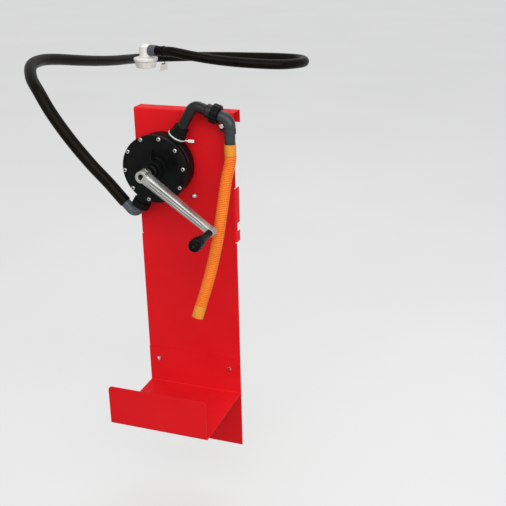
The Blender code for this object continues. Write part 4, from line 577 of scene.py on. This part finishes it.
ribs = int((delivery_length - 2 * CUFF) / RIB_PITCH)
last_cuff = CUFF + ribs * RIB_PITCH
distance = np.concatenate((
    np.linspace(0, CUFF, CUFF_ROWS, endpoint=False),
    CUFF + np.arange(ribs * RIB_ROWS) * RIB_PITCH / RIB_ROWS,
    np.linspace(last_cuff, delivery_length, CUFF_ROWS),
))
ribbed = (distance >= CUFF) & (distance < last_cuff)
wave = (1 - np.cos((distance - CUFF) / RIB_PITCH * math.tau)) / 2
outside = np.stack((distance, DELIVERY_RADIUS - DELIVERY_RIB * wave * ribbed), axis=1)
inside = np.stack((np.linspace(delivery_length, 0, BORE_ROWS), np.full(BORE_ROWS, DELIVERY_BORE)), axis=1)
delivery_grid = carried(np.concatenate((outside, inside)), delivery_line, (1, 0, 0))
# The painted shade's weight: the ribs' depth in the grooves, none in the cuffs or the bore.
delivery_rib_shade = np.concatenate((wave * ribbed, np.zeros(BORE_ROWS)))[:, None]
first_cuff = int(np.argmax(ribbed))  # its rows go last, so that all plain rows follow the ribs
delivery_shell = shell(
    np.roll(delivery_grid, -first_cuff, axis=0), ring=True, mark_from=int(ribbed.sum()),
    painted_shade_weight=np.roll(delivery_rib_shade, -first_cuff, axis=0),
)
delivery_hose = piece(
    "delivery_hose_ribbed", [delivery_shell], [orange_hose, amber_cuff], ["delivery_hose"]
)
print(ribs, "ribs")

# %% Suction hose
SUCTION_RADIUS, SUCTION_ROW = 14.9 * MM, 5 * MM

rows = int(suction_length / SUCTION_ROW)
distance = np.linspace(0, suction_length, rows)
suction_hose = piece(
    "suction_hose_smooth",
    [shell(carried(np.stack((distance, np.full(rows, SUCTION_RADIUS)), axis=1), suction_line, (0, 0, 1)))],
    [black_hose], ["suction_hose"],
)

# %% [markdown]
# ## Pipework
# The riser, the spout and the inlet elbow are pipes with a bore. Each is a closed profile, out along its
# outside and back along its bore, carried along a path with true bends. The collar at the outlet is
# turned, with the steps and the groove of a moulded fitting. Profiles are in millimetres.

# %% Riser, spout and inlet elbow
PIPE_BORE, PIPE_EDGE, PIPE_ROW = 10 * MM, 0.7 * MM, 2 * MM
PIPE_COLUMNS, EDGE_STEPS, BEND_STEPS = 44, 3, 20


def bent_pipe(corners, bend, from_start, from_end):
    """A pipe along bent corners in the pump's axes: its outside, then its bore back to the start.

    The outside is given as (distance, radius) in millimetres, first from the start and then from the end.
    """
    path = pump(fine(rounded(corners, bend, BEND_STEPS), PIPE_ROW))
    total = path_length(path)
    outside = [(distance * MM, radius * MM) for distance, radius in from_start]
    outside += [(total - distance * MM, radius * MM) for distance, radius in from_end]
    loop = outside + [(total, PIPE_BORE), (0.0, PIPE_BORE)]
    profile = fine(rounded(loop, PIPE_EDGE, EDGE_STEPS, closed=True), PIPE_ROW, closed=True)
    return shell(carried(profile, path, (0, 1, 0), PIPE_COLUMNS), ring=True)


RISER_START, ELBOW_START = 97.6 * MM, -118.8 * MM  # on the ports' line
RISER_BEND, SPOUT_BEND, ELBOW_BEND = 18 * MM, 24 * MM, 13.2 * MM
SPOUT_INSERT = 25 * MM  # inside the hose
SEAL_HALF = 0.6 * MM
union_gap = fall * (SEAL_HALF + SEAT_GAP)
riser_corners = [on_port(RISER_START), riser_corner, union_middle - union_gap]
bell = [(23.4, 12.5), (21.4, 16.5), (8.4, 16.5), (8.4, 13.5), (0, 13.5)]
riser = bent_pipe(riser_corners, RISER_BEND, [(0, 12.5)], bell)
piece("riser_pipe_bent", [riser], [charcoal_pipe_shaded], ["riser_pipe"])

flange = [(0, 13.5), (4, 13.5), (4, 12.5)]
spout_corners = [union_middle + union_gap, spout_corner, hose_top - np.array((0, SPOUT_INSERT, 0))]
spout_start = flange + [(8.4, 12.5), (8.4, 14)]
spout_end = [(64, 14), (61.5, 12.5), (25.3, 12.5), (25.3, 11), (0, 11)]
spout = bent_pipe(spout_corners, SPOUT_BEND, spout_start, spout_end)
piece("spout_elbow_bent", [spout], [charcoal_spout_lit], ["spout_elbow"])

elbow = bent_pipe([on_port(ELBOW_START), inlet_corner, inlet_end], ELBOW_BEND, flange, [(0, 12.5)])
piece("inlet_elbow_bent", [elbow], [slate_moulded], ["inlet_elbow"])

# %% Outlet collar
collar_profile = [
    (70.3, 9.5), (70.3, 12.5), (81.3, 12.5), (81.3, 21.0), (89.3, 21.0), (91.0, 18.6), (97.3, 18.0),
    (98.1, 16.2), (100.5, 16.2), (101.3, 18.0), (109.3, 18.0), (109.3, 12.8), (97.3, 12.8), (97.3, 9.5),
]
collar = spun(collar_profile, port_origin, port_way, edge=0.7, ring=True)
piece("outlet_collar_turned", [collar], [black_moulded], ["outlet_collar"])

# %% [markdown]
# ## Ribbed nuts
# The union nut and the inlet nut are gripped by hand, so their outside is ribbed. A ribbed nut is a
# turned ring whose outer radius drops by a smooth wave in the angle: r - depth * (1 - cos(n a)) / 2, but
# only on the outside. The wave is stretched and clipped, which leaves the grooves flat at the bottom.

# %% Union nut and inlet nut
NUT_RIB, NUT_EDGE, NUT_ROW = 1.3 * MM, 0.8 * MM, 2.5 * MM
NUT_COLUMNS, WAVE_STRETCH = 168, 1.6


def ribbed_nut(profile, origin, direction, outside_from, ribs):
    """A turned ring whose points beyond the radius outside_from are drawn in by the wave."""
    profile = fine(rounded(np.array(profile) * MM, NUT_EDGE, 4, closed=True), NUT_ROW, closed=True)
    grid = turned(profile, origin, direction, NUT_COLUMNS)
    centre = grid.mean(axis=1, keepdims=True)
    angle = np.linspace(0, math.tau, NUT_COLUMNS, endpoint=False)
    wave = np.clip(WAVE_STRETCH * (1 - np.cos(ribs * angle)) / 2, 0, 1)
    outer = profile[:, 1] > outside_from
    share = 1 - NUT_RIB * wave[None, :] * outer[:, None] / profile[:, 1][:, None]
    return shell(centre + (grid - centre) * share[..., None], ring=True)


union_profile = [(-9, 13.8), (-9, 22), (-8, 23), (8, 23), (9, 22), (9, 12.8), (5.2, 12.8), (5.2, 13.8)]
inlet_profile = [
    (108.8, 14.3), (108.8, 21.5), (109.8, 22.5), (124.8, 22.5),
    (125.8, 21.5), (125.8, 12.8), (123.1, 12.8), (123.1, 14.3),
]
union_way = np.array((fall[0], 0.0, fall[1]))
union_nut = ribbed_nut(union_profile, pump(union_middle), union_way, 18 * MM, ribs=14)
inlet_nut = ribbed_nut(inlet_profile, port_origin, -port_way, 17 * MM, ribs=12)
piece("union_nut_ribbed", [union_nut], [black_moulded], ["union_nut"])
piece("inlet_nut_ribbed", [inlet_nut], [black_moulded], ["inlet_nut"])

# %% [markdown]
# ## Pump housing
# The body is one moulding: a drum, a waist and a flange on the shaft's axis, a boss and a flared neck on
# the ports' axis, and three feet. Each is turned, and the shells run into each other as the moulding
# does. The cover is a dish with a hub for the gland and one thin rib.

# %% Body
DRUM_COLUMNS = 120
FOOT_CIRCLE = 55 * MM
body_profile = [
    (6.5, 16), (16, 16), (16, 75.0), (18.5, 77.5), (44.5, 77.5), (47, 75.0), (47, 66), (63, 66), (63, 81),
    (69, 81), (69, 60), (22, 56), (22, 10.3), (10.5, 10.3), (10.5, 5),
]
boss_profile = [(58, 24.5), (72, 22.5), (79.5, 22.5), (79.5, 12.9), (70, 12.9)]
neck_profile = [
    (56, 28), (60.5, 27), (87.8, 19.5), (108.5, 19.5), (108.5, 14), (117, 14), (117, 9.5), (106, 9.5),
]
foot_profile = [(2.3, 3.2), (2.3, 8), (4, 9), (18, 9), (18, 3.2)]
foot_angles = PORT_ANGLE + math.pi / 3 + np.arange(3) * math.tau / 3
shells = [
    spun(body_profile, shaft_foot, towards_person, edge=1.2, columns=DRUM_COLUMNS),
    spun(boss_profile, port_origin, port_way, edge=1),
    spun(neck_profile, port_origin, -port_way, edge=2),
]
for angle in foot_angles:
    place = on_circle(FOOT_CIRCLE, angle)
    shells.append(spun(foot_profile, place, towards_person, edge=0.8, columns=36, steps=3))
piece("pump_body_moulded", shells, [black_moulded], ["pump_body"])

# %% Cover
COVER_FRONT, DISH_RIM, DISH_FOOT, DISH_DEPTH = 76.3 * MM, 66 * MM, 27 * MM, 7 * MM
COVER_EDGE, COVER_HUB_EDGE = 1 * MM, 1.2 * MM
share = np.linspace(0, 1, 16)
dish_along = COVER_FRONT - DISH_DEPTH * np.sin(share * math.pi / 2)
dish = np.stack((dish_along, DISH_RIM - (DISH_RIM - DISH_FOOT) * share), axis=1)
rear = np.array([
    (85.6, 10.3), (62.3, 10.3), (62.3, 53.7), (70.3, 53.7), (70.3, 81), (76.3, 81), (76.3, 67.5)
]) * MM
hub = np.array([(70.0, 25.4), (92.0, 24.6), (92.0, 13.3), (85.6, 13.3)]) * MM
cover = np.concatenate((rounded(rear, COVER_EDGE, 4), dish, rounded(hub, COVER_HUB_EDGE, 4)))

RIB_ANGLE, RIB_HALF = math.radians(96), 1.5 * MM
RIB_START, RIB_SHOULDER, RIB_END = 22 * MM, 25 * MM, 52 * MM  # out from the shaft
RIB_FOOT, RIB_TOP, RIB_TOE = 66 * MM, 88 * MM, 70.5 * MM  # along the shaft
rib_out = np.linspace(RIB_START, RIB_END, 24)
rib_top = np.interp(rib_out, (RIB_START, RIB_SHOULDER, RIB_END), (RIB_TOP, RIB_TOP, RIB_TOE))
rib_section = np.array([(-1, 0), (-1, 0.9), (-0.7, 0.98), (0, 1), (0.7, 0.98), (1, 0.9), (1, 0)])
rib_height = RIB_FOOT + rib_section[None, :, 1] * (rib_top - RIB_FOOT)[:, None]
rib_side = np.broadcast_to(rib_section[None, :, 0] * RIB_HALF, rib_height.shape)
rib_along = np.broadcast_to(rib_out[:, None], rib_height.shape)
rib = pump(np.stack((
    rib_along * math.cos(RIB_ANGLE) - rib_side * math.sin(RIB_ANGLE),
    rib_along * math.sin(RIB_ANGLE) + rib_side * math.cos(RIB_ANGLE),
    rib_height,
), axis=-1))
piece(
    "front_cover_dished",
    [shell(turned(cover, shaft_foot, towards_person, DRUM_COLUMNS), ring=True), shell(rib)],
    [black_moulded], ["front_cover"],
)

# %% Gland nut
gland_profile = [(91.4, 7.4), (91.4, 13), (92.3, 13), (92.3, 18), (100, 18), (102.3, 15.4), (102.3, 7.4)]
gland = spun(gland_profile, shaft_foot, towards_person, edge=0.8, ring=True)
piece("gland_nut_turned", [gland], [black_moulded], ["gland_nut"])

# %% [markdown]
# ## Cover screws
# Ten screws hold the cover. Each has a domed head with a socket, so the dome is a quarter of a circle in
# its profile and the socket is a short way back down. The socket's rows take the near-black finish of
# the shaft: a painted shade for the socket's depth.

# %% Cover screws
SCREWS, SCREW_START = 10, math.radians(4.9)
SCREW_CIRCLE, SCREW_SEAT = 75 * MM, 76.6 * MM
HEAD_RADIUS, HEAD_FLAT, HEAD_SIDE, HEAD_DOME = 5.0, 2.4, 1.2, 2.0  # millimetres
dome = np.linspace(0, math.pi / 2, 8)[1:]
dome_out = HEAD_FLAT + (HEAD_RADIUS - HEAD_FLAT) * np.cos(dome)
dome_rows = np.stack((HEAD_SIDE + HEAD_DOME * np.sin(dome), dome_out), axis=1)
shank_rows = [(-13, 2.0), (0, 2.0), (0, HEAD_RADIUS), (HEAD_SIDE, HEAD_RADIUS)]
socket_rows = [(HEAD_SIDE + HEAD_DOME, 2.0), (1.4, 2.0)]
screw = np.concatenate((shank_rows, dome_rows, socket_rows)) * MM
for number in range(SCREWS):
    seat = on_circle(SCREW_CIRCLE, SCREW_START + number * math.tau / SCREWS, SCREW_SEAT)
    head = shell(turned(screw, seat, towards_person, 24), mark_from=len(screw) - len(socket_rows))
    name = f"cover_screw_{number + 1:02d}"
    piece(f"{name}_domed", [head], [steel, blackened_and_socket_shade], [name])

# %% [markdown]
# ## Crank and grip
# The crank is a tapered bar with two long grooves, a hub on the shaft and an eye for the grip. Its
# section is a rectangle with soft corners, and the grooves are two dips in its front that fade out
# towards both ends. The grooves and the front below its middle take a painted shade, a darker grey.
# The hub and the eye are turned. The grip swells towards its free end.

# %% Crank arm
CRANK_ANGLE, CRANK_THROW, CRANK_FRONT = math.radians(-35.5), 200 * MM, 145 * MM
ARM_START, ARM_END, ARM_SET_BACK = 4 * MM, 198 * MM, 1 * MM
ARM_ROWS, ARM_COLUMNS = 60, 240
SOFT_CORNER = 2 / 5  # the power that rounds a rectangle's corners
ROOT_HALF_WIDTH, TIP_HALF_WIDTH = 12.5 * MM, 8.5 * MM
ROOT_HALF_DEPTH, TIP_HALF_DEPTH = 13.5 * MM, 10 * MM
GROOVE_SPREAD, GROOVE_WIDTH, GROOVE_DEPTH = 3.6 * MM, 2.2 * MM, 1.6 * MM
GROOVE_START, GROOVE_END, GROOVE_FADE = 18 * MM, 182 * MM, 10 * MM
# Painted shade on the front below its middle: its weight across the arm.
LOWER_SHADE_ACROSS = np.array((-5.0, 0.0, 3.6, 5.5)) * MM  # from the lower edge up
LOWER_SHADE_SHARES = 1.0, 0.64, 0.5, 0.0


def crank(points):
    """Points with x along the arm, y across it and h along the shaft, in the frame's axes."""
    x, y, h = np.moveaxis(np.array(points, float), -1, 0)
    cos, sin = math.cos(CRANK_ANGLE), math.sin(CRANK_ANGLE)
    return pump(np.stack((x * cos - y * sin, x * sin + y * cos, h), axis=-1))


def soft_rectangle(half_width, half_depth, columns):
    """Points x and y on |x / a|^5 + |y / b|^5 = 1: a cos^(2/5) and b sin^(2/5), with the signs kept."""
    angle = np.linspace(0, math.tau, columns, endpoint=False)[None, :]
    cos, sin = np.cos(angle), np.sin(angle)
    x = half_width * np.sign(cos) * np.abs(cos) ** SOFT_CORNER
    y = half_depth * np.sign(sin) * np.abs(sin) ** SOFT_CORNER
    return x, y


along = np.linspace(ARM_START, ARM_END, ARM_ROWS)[:, None]
share = along / CRANK_THROW
half_width = ROOT_HALF_WIDTH + (TIP_HALF_WIDTH - ROOT_HALF_WIDTH) * share
half_depth = ROOT_HALF_DEPTH + (TIP_HALF_DEPTH - ROOT_HALF_DEPTH) * share
across, depth = soft_rectangle(half_width, half_depth, ARM_COLUMNS)
fade = np.clip((along - GROOVE_START) / GROOVE_FADE, 0, 1)
fade = fade * np.clip((GROOVE_END - along) / GROOVE_FADE, 0, 1)
dips = np.exp(-((np.abs(across) - GROOVE_SPREAD) / GROOVE_WIDTH) ** 2) * (depth > 0)
lower_shade = np.interp(across, LOWER_SHADE_ACROSS, LOWER_SHADE_SHARES) * (depth > 0)
height = CRANK_FRONT - ARM_SET_BACK - half_depth + depth - GROOVE_DEPTH * fade * dips
arm = crank(np.stack((np.broadcast_to(along, across.shape), across, height), axis=-1))
crank_tip = crank((CRANK_THROW, 0, 0))
hub_profile = [(115, 7.3), (115, 14), (145, 14), (145, 7.3)]
eye_profile = [(124, 4.3), (124, 10), (145, 10), (145, 4.3)]
piece(
    "crank_arm_grooved",
    [
        # The arm's painted shade: in its grooves and on its lower front.
        shell(arm, painted_shade_weight=fade * np.maximum(dips, lower_shade)),
        spun(hub_profile, shaft_foot, towards_person, edge=1.2, steps=5, ring=True),
        spun(eye_profile, crank_tip, towards_person, edge=1.2, steps=5, ring=True),
    ],
    [aluminium], ["crank_arm"], "crank",
)

# %% Set screw
hub_middle = crank((0, 0, 130 * MM))
set_screw_profile = [(7.3, 2.5), (14.3, 2.5), (14.3, 5.4), (18.7, 5.4), (18.7, 2.7), (16.4, 2.7)]
screw_way = crank((0, 1, 0)) - crank((0, 0, 0))
# Its socket's last rows take the near-black finish: a painted shade for the socket's depth.
set_screw = spun(set_screw_profile, hub_middle, screw_way, edge=0.5, columns=32, steps=3, second_rows=4)
piece("crank_set_screw_socket", [set_screw], [steel, blackened_and_socket_shade], ["crank_set_screw"], "crank")

# %% Grip
GRIP_START, GRIP_LENGTH, GRIP_SIDE = 145.3 * MM, 93 * MM, 80 * MM
GRIP_EDGE, GRIP_FOOT = 1 * MM, 7.6 * MM  # the foot's chamfer and its radius
GRIP_ROOT, GRIP_SWELL = 8.4 * MM, 6.2 * MM
SWELL_PACE, SWELL_POWER = 1.25, 1.3
NOSE_LENGTH, NOSE_FLAT = 12 * MM, 7 * MM
RECESS_DEPTH, RECESS_RADIUS, PIN_BORE = 7 * MM, 5.4 * MM, 4.2 * MM
share = np.linspace(0, 1, 40)
swell = (1 - np.cos(math.pi * np.clip(SWELL_PACE * share ** SWELL_POWER, 0, 1))) / 2
side = np.stack((GRIP_START + GRIP_EDGE + GRIP_SIDE * share, GRIP_ROOT + GRIP_SWELL * swell), axis=1)
front = GRIP_START + GRIP_LENGTH
nose_angle = np.linspace(0, math.pi / 2, 12)[1:]
nose_out = NOSE_FLAT + (GRIP_ROOT + GRIP_SWELL - NOSE_FLAT) * np.cos(nose_angle)
nose = np.stack((front + NOSE_LENGTH * (np.sin(nose_angle) - 1), nose_out), axis=1)
recess = front - RECESS_DEPTH
bore = [(front, RECESS_RADIUS), (recess, RECESS_RADIUS), (recess, PIN_BORE), (GRIP_START, PIN_BORE)]
grip = np.concatenate(([(GRIP_START, GRIP_FOOT)], side, nose, bore))
piece(
    "grip_swelled", [shell(turned(grip, crank_tip, towards_person), ring=True)],
    [grip_black], ["grip"], "grip",
)

# %% [markdown]
# ## Bolts and nuts
# A hexagon's radius in the direction a is R cos 30° / cos(a mod 60° - 30°). The chamfer cuts its corners
# with a cone, so a corner's edge drops as its radius grows. The thread on a shank is one turned surface
# whose radius follows a saw wave of the height less the angle, which makes a helix.

# %% Hexagon helpers
HEX_CORNER, HEX_COLUMNS = 5.8 * MM, 72
HEX_FLAT = HEX_CORNER * math.cos(math.pi / 6)
CHAMFER_SHARE = 0.96  # of the flats' radius, where the chamfer starts
BOLT_HEAD, NUT_HEIGHT = 4 * MM, 5 * MM
THREAD_PITCH, THREAD_DEPTH, SHANK_RADIUS = 1.0 * MM, 0.5 * MM, 3.0 * MM
THREAD_TAPER, THREAD_ROWS, THREAD_COLUMNS = 0.4 * MM, 8, 24


def hexagon(origin, direction, height, both_ends=False):
    """A hexagon bar with a chamfered top, and a chamfered foot too where both ends show."""
    angle = np.linspace(0, math.tau, HEX_COLUMNS, endpoint=False)
    radius = HEX_FLAT / np.cos(angle % (math.pi / 3) - math.pi / 6)
    flat = HEX_FLAT * CHAMFER_SHARE
    drop = (radius - flat) * math.tan(math.pi / 6)
    ones = np.ones_like(angle)
    foot = [(0 * ones, flat * ones), (drop, radius)] if both_ends else [(0 * ones, radius)]
    rows = foot + [(height - drop, radius), (height * ones, flat * ones)]
    unit_rows = turned([(0.0, 1.0)], (0, 0, 0), direction, HEX_COLUMNS)[0]
    way = unit(np.array(direction, float))
    grid = np.stack([unit_rows * out[:, None] + way * up[:, None] for up, out in rows])
    return shell(grid + np.array(origin))


def threaded(origin, direction, length):
    """A shank with a thread that tapers at its end: radius - depth * |2 frac(height / pitch - turn) - 1|."""
    height = np.linspace(0, length, int(length / THREAD_PITCH * THREAD_ROWS) + 2)
    angle = np.arange(THREAD_COLUMNS) / THREAD_COLUMNS
    saw = np.abs(2 * ((height[:, None] / THREAD_PITCH - angle[None, :]) % 1) - 1)
    grid = turned(np.stack((height, np.ones_like(height)), axis=1), (0, 0, 0), direction, THREAD_COLUMNS)
    way = unit(np.array(direction, float))
    centre = height[:, None, None] * way
    lead_in = np.clip((height - length) / THREAD_PITCH, -1, 0)[:, None] + 1
    radius = SHANK_RADIUS - THREAD_DEPTH * saw - THREAD_TAPER * lead_in
    return shell(centre + (grid - centre) * radius[..., None] + np.array(origin))


def bolt(name, seat, head_way, shank):
    """A bolt whose head stands on its seat along head_way and whose shank goes the other way."""
    parts = [hexagon(seat, head_way, BOLT_HEAD), threaded(seat, -head_way, shank)]
    piece(f"{name}_hex", parts, [zinc], [name])


def nut(name, seat, way):
    piece(f"{name}_hex", [hexagon(seat, way, NUT_HEIGHT, both_ends=True)], [zinc], [name])


# %% Bolts of the shelf, the clip, the plate and the pump
SHELF_BOLTS = [(-0.0986, -0.662), (0.0986, -0.662)]
SHELF_SEAT, CLIP_SEAT = 4.6 * MM, 21 * MM  # in front of the plate's back
SHELF_SHANK, CLIP_SHANK, SHORT_SHANK = 11.4 * MM, 27.8 * MM, 13 * MM
CLIP_ASIDE, CLIP_DROP = 22.9 * MM, 18.5 * MM  # from the spout's corner
PLATE_BOLT = np.array((0.0230, SEAT_GAP, -0.2034))
PLATE_NUT_GAP = 2.6 * MM  # the plate's thickness and its seats

for number, (x, z) in enumerate(SHELF_BOLTS, 1):
    bolt(f"shelf_bolt_{number}", np.array((x, -SHELF_SEAT, z)), towards_person, SHELF_SHANK)
    nut(f"shelf_nut_{number}", (x, SEAT_GAP, z), away)

clip_place = pump(spout_corner - np.array((CLIP_ASIDE, CLIP_DROP, PORT_PLANE)))
bolt("clip_bolt", clip_place + towards_person * CLIP_SEAT, towards_person, CLIP_SHANK)
nut("clip_nut", clip_place + away * SEAT_GAP, away)
bolt("plate_bolt", PLATE_BOLT, away, SHORT_SHANK)
nut("plate_nut", PLATE_BOLT + towards_person * PLATE_NUT_GAP, towards_person)
for number, angle in enumerate(foot_angles, 1):
    bolt(f"pump_bolt_{number}", on_circle(FOOT_CIRCLE, angle, -SEAT_GAP), away, SHORT_SHANK)

# %% [markdown]
# ## Coupler and flags
# The coupler on the far end of the suction hose is a white cup with a flared rim and a stub, and a slate
# grey tail that the hose meets. Both are turned. The flags that hang from two straps are thin ribbons: a
# strap is a turned ring, white on the outlet and black on the hose, and the ribbon's half width steps up
# from the tail to the flag.

# %% Coupler body and tail
cup_profile = [
    (55, 9.5), (16, 9.5), (16, 24), (0, 24), (0, 30), (18, 33.5), (22, 37.5), (28, 37.5), (30, 35.5),
    (32, 29.5), (34, 20.5), (36, 18.5), (63.5, 18.5), (71.5, 10.5),
]
branch_profile = np.array([(0, 12), (22, 12)]) * MM
cup = spun(cup_profile, COUPLER, (0.0, 0.0, 1.0), edge=1.8, steps=5)
branch = shell(turned(branch_profile, branch_origin, branch_way, 40))
coupler_cup = piece("coupler_body_cup", [cup, branch], [white_moulded], ["coupler_body"])
tail_profile = [(18.8, 12.4), (18.8, 15.6), (20.8, 16.6), (45, 16.6), (45, 10), (22.3, 10), (22.3, 12.4)]
tail = spun(tail_profile, branch_origin, branch_way, edge=1.2, ring=True)
coupler_tail = piece("coupler_tail_turned", [tail], [slate_moulded], ["coupler_elbow"])

# %% Flag ties
STRAP_HALF, STRAP_THICKNESS, STRAP_EDGE = 1.5 * MM, 1.2 * MM, 0.4 * MM
TAIL_HALF, RIBBON_HALF, FLAG_CORNER = 1.2 * MM, 0.5 * MM, 1.2 * MM
RIBBON_ROWS, RIBBON_COLUMNS = 60, 32


def flag_tie(radius, origin, direction, tip, flag_size, facing, slant=0.0):
    """A strap round a pipe and a ribbon from it to the flag's tip.

    The ribbon's section at each distance is a thin soft rectangle; its half width is the tail's, then the
    flag's. The flag slants: its top edge rises to one side and its sides run down to the other.
    """
    strap = np.array([(-STRAP_HALF, 0.0), (STRAP_HALF, 0.0)])
    strap = np.concatenate((strap, strap[::-1] + np.array((0.0, STRAP_THICKNESS))))
    strap = rounded(strap, STRAP_EDGE, 3, closed=True)
    strap[:, 1] += radius
    axis = unit(np.array(direction, float))
    spoke = np.array(tip) - origin
    spoke = unit(spoke - axis * np.dot(spoke, axis))
    root = origin + spoke * (radius + STRAP_THICKNESS / 2)
    run = np.array(tip) - root
    length = np.linalg.norm(run)
    way = run / length
    normal = unit(np.array(facing) - way * np.dot(way, facing))
    side = np.cross(normal, way)
    flag_length, flag_width = flag_size
    start = length - flag_length
    flag_half = flag_width / 2
    stops = [0, start - FLAG_CORNER, start, start + FLAG_CORNER, length - FLAG_CORNER, length]
    soft_half = flag_half - FLAG_CORNER
    widths = [TAIL_HALF, TAIL_HALF, soft_half, flag_half, flag_half, soft_half]
    reach = np.linspace(0, length, RIBBON_ROWS)[:, None]
    wide, thick = soft_rectangle(np.interp(reach, stops, widths), RIBBON_HALF, RIBBON_COLUMNS)
    past = reach - start
    flagged = past >= 0
    down = np.where(flagged, start + past * math.cos(slant) - wide * math.sin(slant), reach)
    over = np.where(flagged, wide * math.cos(slant) - past * math.sin(slant), wide)
    ribbon = root + down[..., None] * way + over[..., None] * side + thick[..., None] * normal
    first_flag_row = int(np.argmax(flagged[:, 0]))
    return [shell(turned(strap, origin, axis), ring=True), shell(ribbon, mark_from=first_flag_row)]


OUTLET_STRAP, OUTLET_STRAP_RADIUS = 85.3 * MM, 21.3 * MM
OUTLET_FLAG_PAST, OUTLET_FLAG_ASIDE, OUTLET_FLAG_BACK = 16.8 * MM, 40.6 * MM, 2 * MM
OUTLET_FLAG_SIZE, OUTLET_FLAG_FACING = (15 * MM, 7 * MM), (0.4, -1.0, 0.25)
aside = np.array((math.sin(PORT_ANGLE), -math.cos(PORT_ANGLE), 0.0)) * OUTLET_FLAG_ASIDE
outlet_tip = pump(on_port(BOSS_END + OUTLET_FLAG_PAST) + aside - np.array((0, 0, OUTLET_FLAG_BACK)))
outlet_strap = pump(on_port(OUTLET_STRAP))
outlet_tie = flag_tie(
    OUTLET_STRAP_RADIUS, outlet_strap, port_way, outlet_tip, OUTLET_FLAG_SIZE, OUTLET_FLAG_FACING
)
piece("outlet_tie_flag", outlet_tie, [white_moulded, flag_film], ["outlet_tie"])

HOSE_STRAP, HOSE_STRAP_RADIUS = 26 * MM, 15.5 * MM
HOSE_FLAG_SIZE, HOSE_FLAG_FACING, HOSE_FLAG_SLANT = (24 * MM, 27 * MM), (0, -1.0, 0.3), math.radians(18)
hose_strap = suction_end + branch_way * HOSE_STRAP
hose_tip = COUPLER + np.array((67.5, -5, -8.5)) * MM
hose_tie = flag_tie(
    HOSE_STRAP_RADIUS, hose_strap, branch_way, hose_tip, HOSE_FLAG_SIZE, HOSE_FLAG_FACING, HOSE_FLAG_SLANT
)
hose_flag = piece("hose_tie_flag", hose_tie, [black_moulded, flag_film], ["hose_tie"])

# %% [markdown]
# ## CAD pieces that keep their shape
# The folded sheets, the clip and what is inside the pump already have the right shape, so they stay and
# take their finishes.

# %% Finishes of the CAD pieces
KEPT = {
    red_coat: ["mounting_plate", "shelf_bracket"],
    charcoal_pipe_shaded: ["spout_clip"],
    steel: ["vane_spring_a", "vane_spring_b"],
    blackened_and_socket_shade: ["shaft", "grip_pin"],
    black_moulded: ["rotor", "clip_spacer"],
    acetal: ["rear_bush", "front_bush", "vane_a", "vane_b"],
    seal_rubber: ["cover_gasket", "shaft_seal", "outlet_seal", "union_seal", "inlet_seal", "coupler_gasket"],
}
for material, names in KEPT.items():
    for name in names:
        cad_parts[name].material_slots[0].material = material
print(sum(len(names) for names in KEPT.values()), "CAD pieces keep their shape")

# %% [markdown]
# ## Floor and light
# The plate hangs, so the floor lies well below it and only takes a soft shadow. The floor is grey to the
# light that falls on it, so that it throws little back on the undersides, and glows a little to the eye
# and in reflections, which makes a pale ground with no horizon. A large lamp in front gives the shapes
# their shading, a second one fills in from the right, a third one lights the back, and a pale sky does
# the rest.

# %% Floor
FLOOR_HEIGHT, FLOOR_REACH = -1.03, 60.0
corners = np.array([(-1, -1), (1, -1), (1, 1), (-1, 1)]) * FLOOR_REACH
floor_mesh = bpy.data.meshes.new("floor")
floor_mesh.from_pydata([(x, y, FLOOR_HEIGHT) for x, y in corners.tolist()], [], [(0, 1, 2, 3)])
floor_paint = finish(
    "floor_matte_pale", "8E8E8C", 0.9, tones=(900, "8C8C8A", "90908E"),
    Specular_IOR_Level=0.0, Emission_Color=linear("BCBDBD"),
)
tree = floor_paint.node_tree
rays = add(tree, "ShaderNodeLightPath").outputs
to_eye = rays["Is Camera Ray"]
for ray in ("Is Glossy Ray", "Is Transmission Ray"):
    either = add(tree, "ShaderNodeMath", {"operation": "MAXIMUM"}, {0: to_eye, 1: rays[ray]})
    to_eye = either.outputs[0]
tree.links.new(to_eye, tree.nodes["Principled BSDF"].inputs["Emission Strength"])
floor_mesh.materials.append(floor_paint)
floor = bpy.data.objects.new("floor", floor_mesh)
bpy.context.scene.collection.objects.link(floor)

# %% Lights and sky
LAMPS = (  # place, aim, size in metres, watts
    ((0.4, -2.7, 1.8), (-0.1, 0.0, -0.2), 2.8, 56.0),
    ((2.4, -1.8, 1.1), (0.0, 0.0, -0.2), 2.4, 64.0),
    ((0.2, 1.6, 2.4), (-0.2, 0.4, 0.0), 2.0, 25.0),
)
SKY_COLOUR, SKY_STRENGTH = "F7F8FA", 0.72
for number, (spot, aim, size, watts) in enumerate(LAMPS, 1):
    lamp = bpy.data.lights.new(f"lamp_{number}", "AREA")
    lamp.size = size
    lamp.energy = watts
    lamp_object = bpy.data.objects.new(f"lamp_{number}", lamp)
    bpy.context.scene.collection.objects.link(lamp_object)
    lamp_object.location = spot
    heading = Vector(aim) - Vector(spot)
    lamp_object.rotation_euler = heading.to_track_quat("-Z", "Y").to_euler()

sky = bpy.data.worlds.new("sky")
sky.use_nodes = True
background = sky.node_tree.nodes["Background"].inputs
background["Color"].default_value = linear(SKY_COLOUR)
background["Strength"].default_value = SKY_STRENGTH
bpy.context.scene.world = sky
bpy.context.scene.view_settings.view_transform = "Standard"
print(len(LAMPS), "lamps")
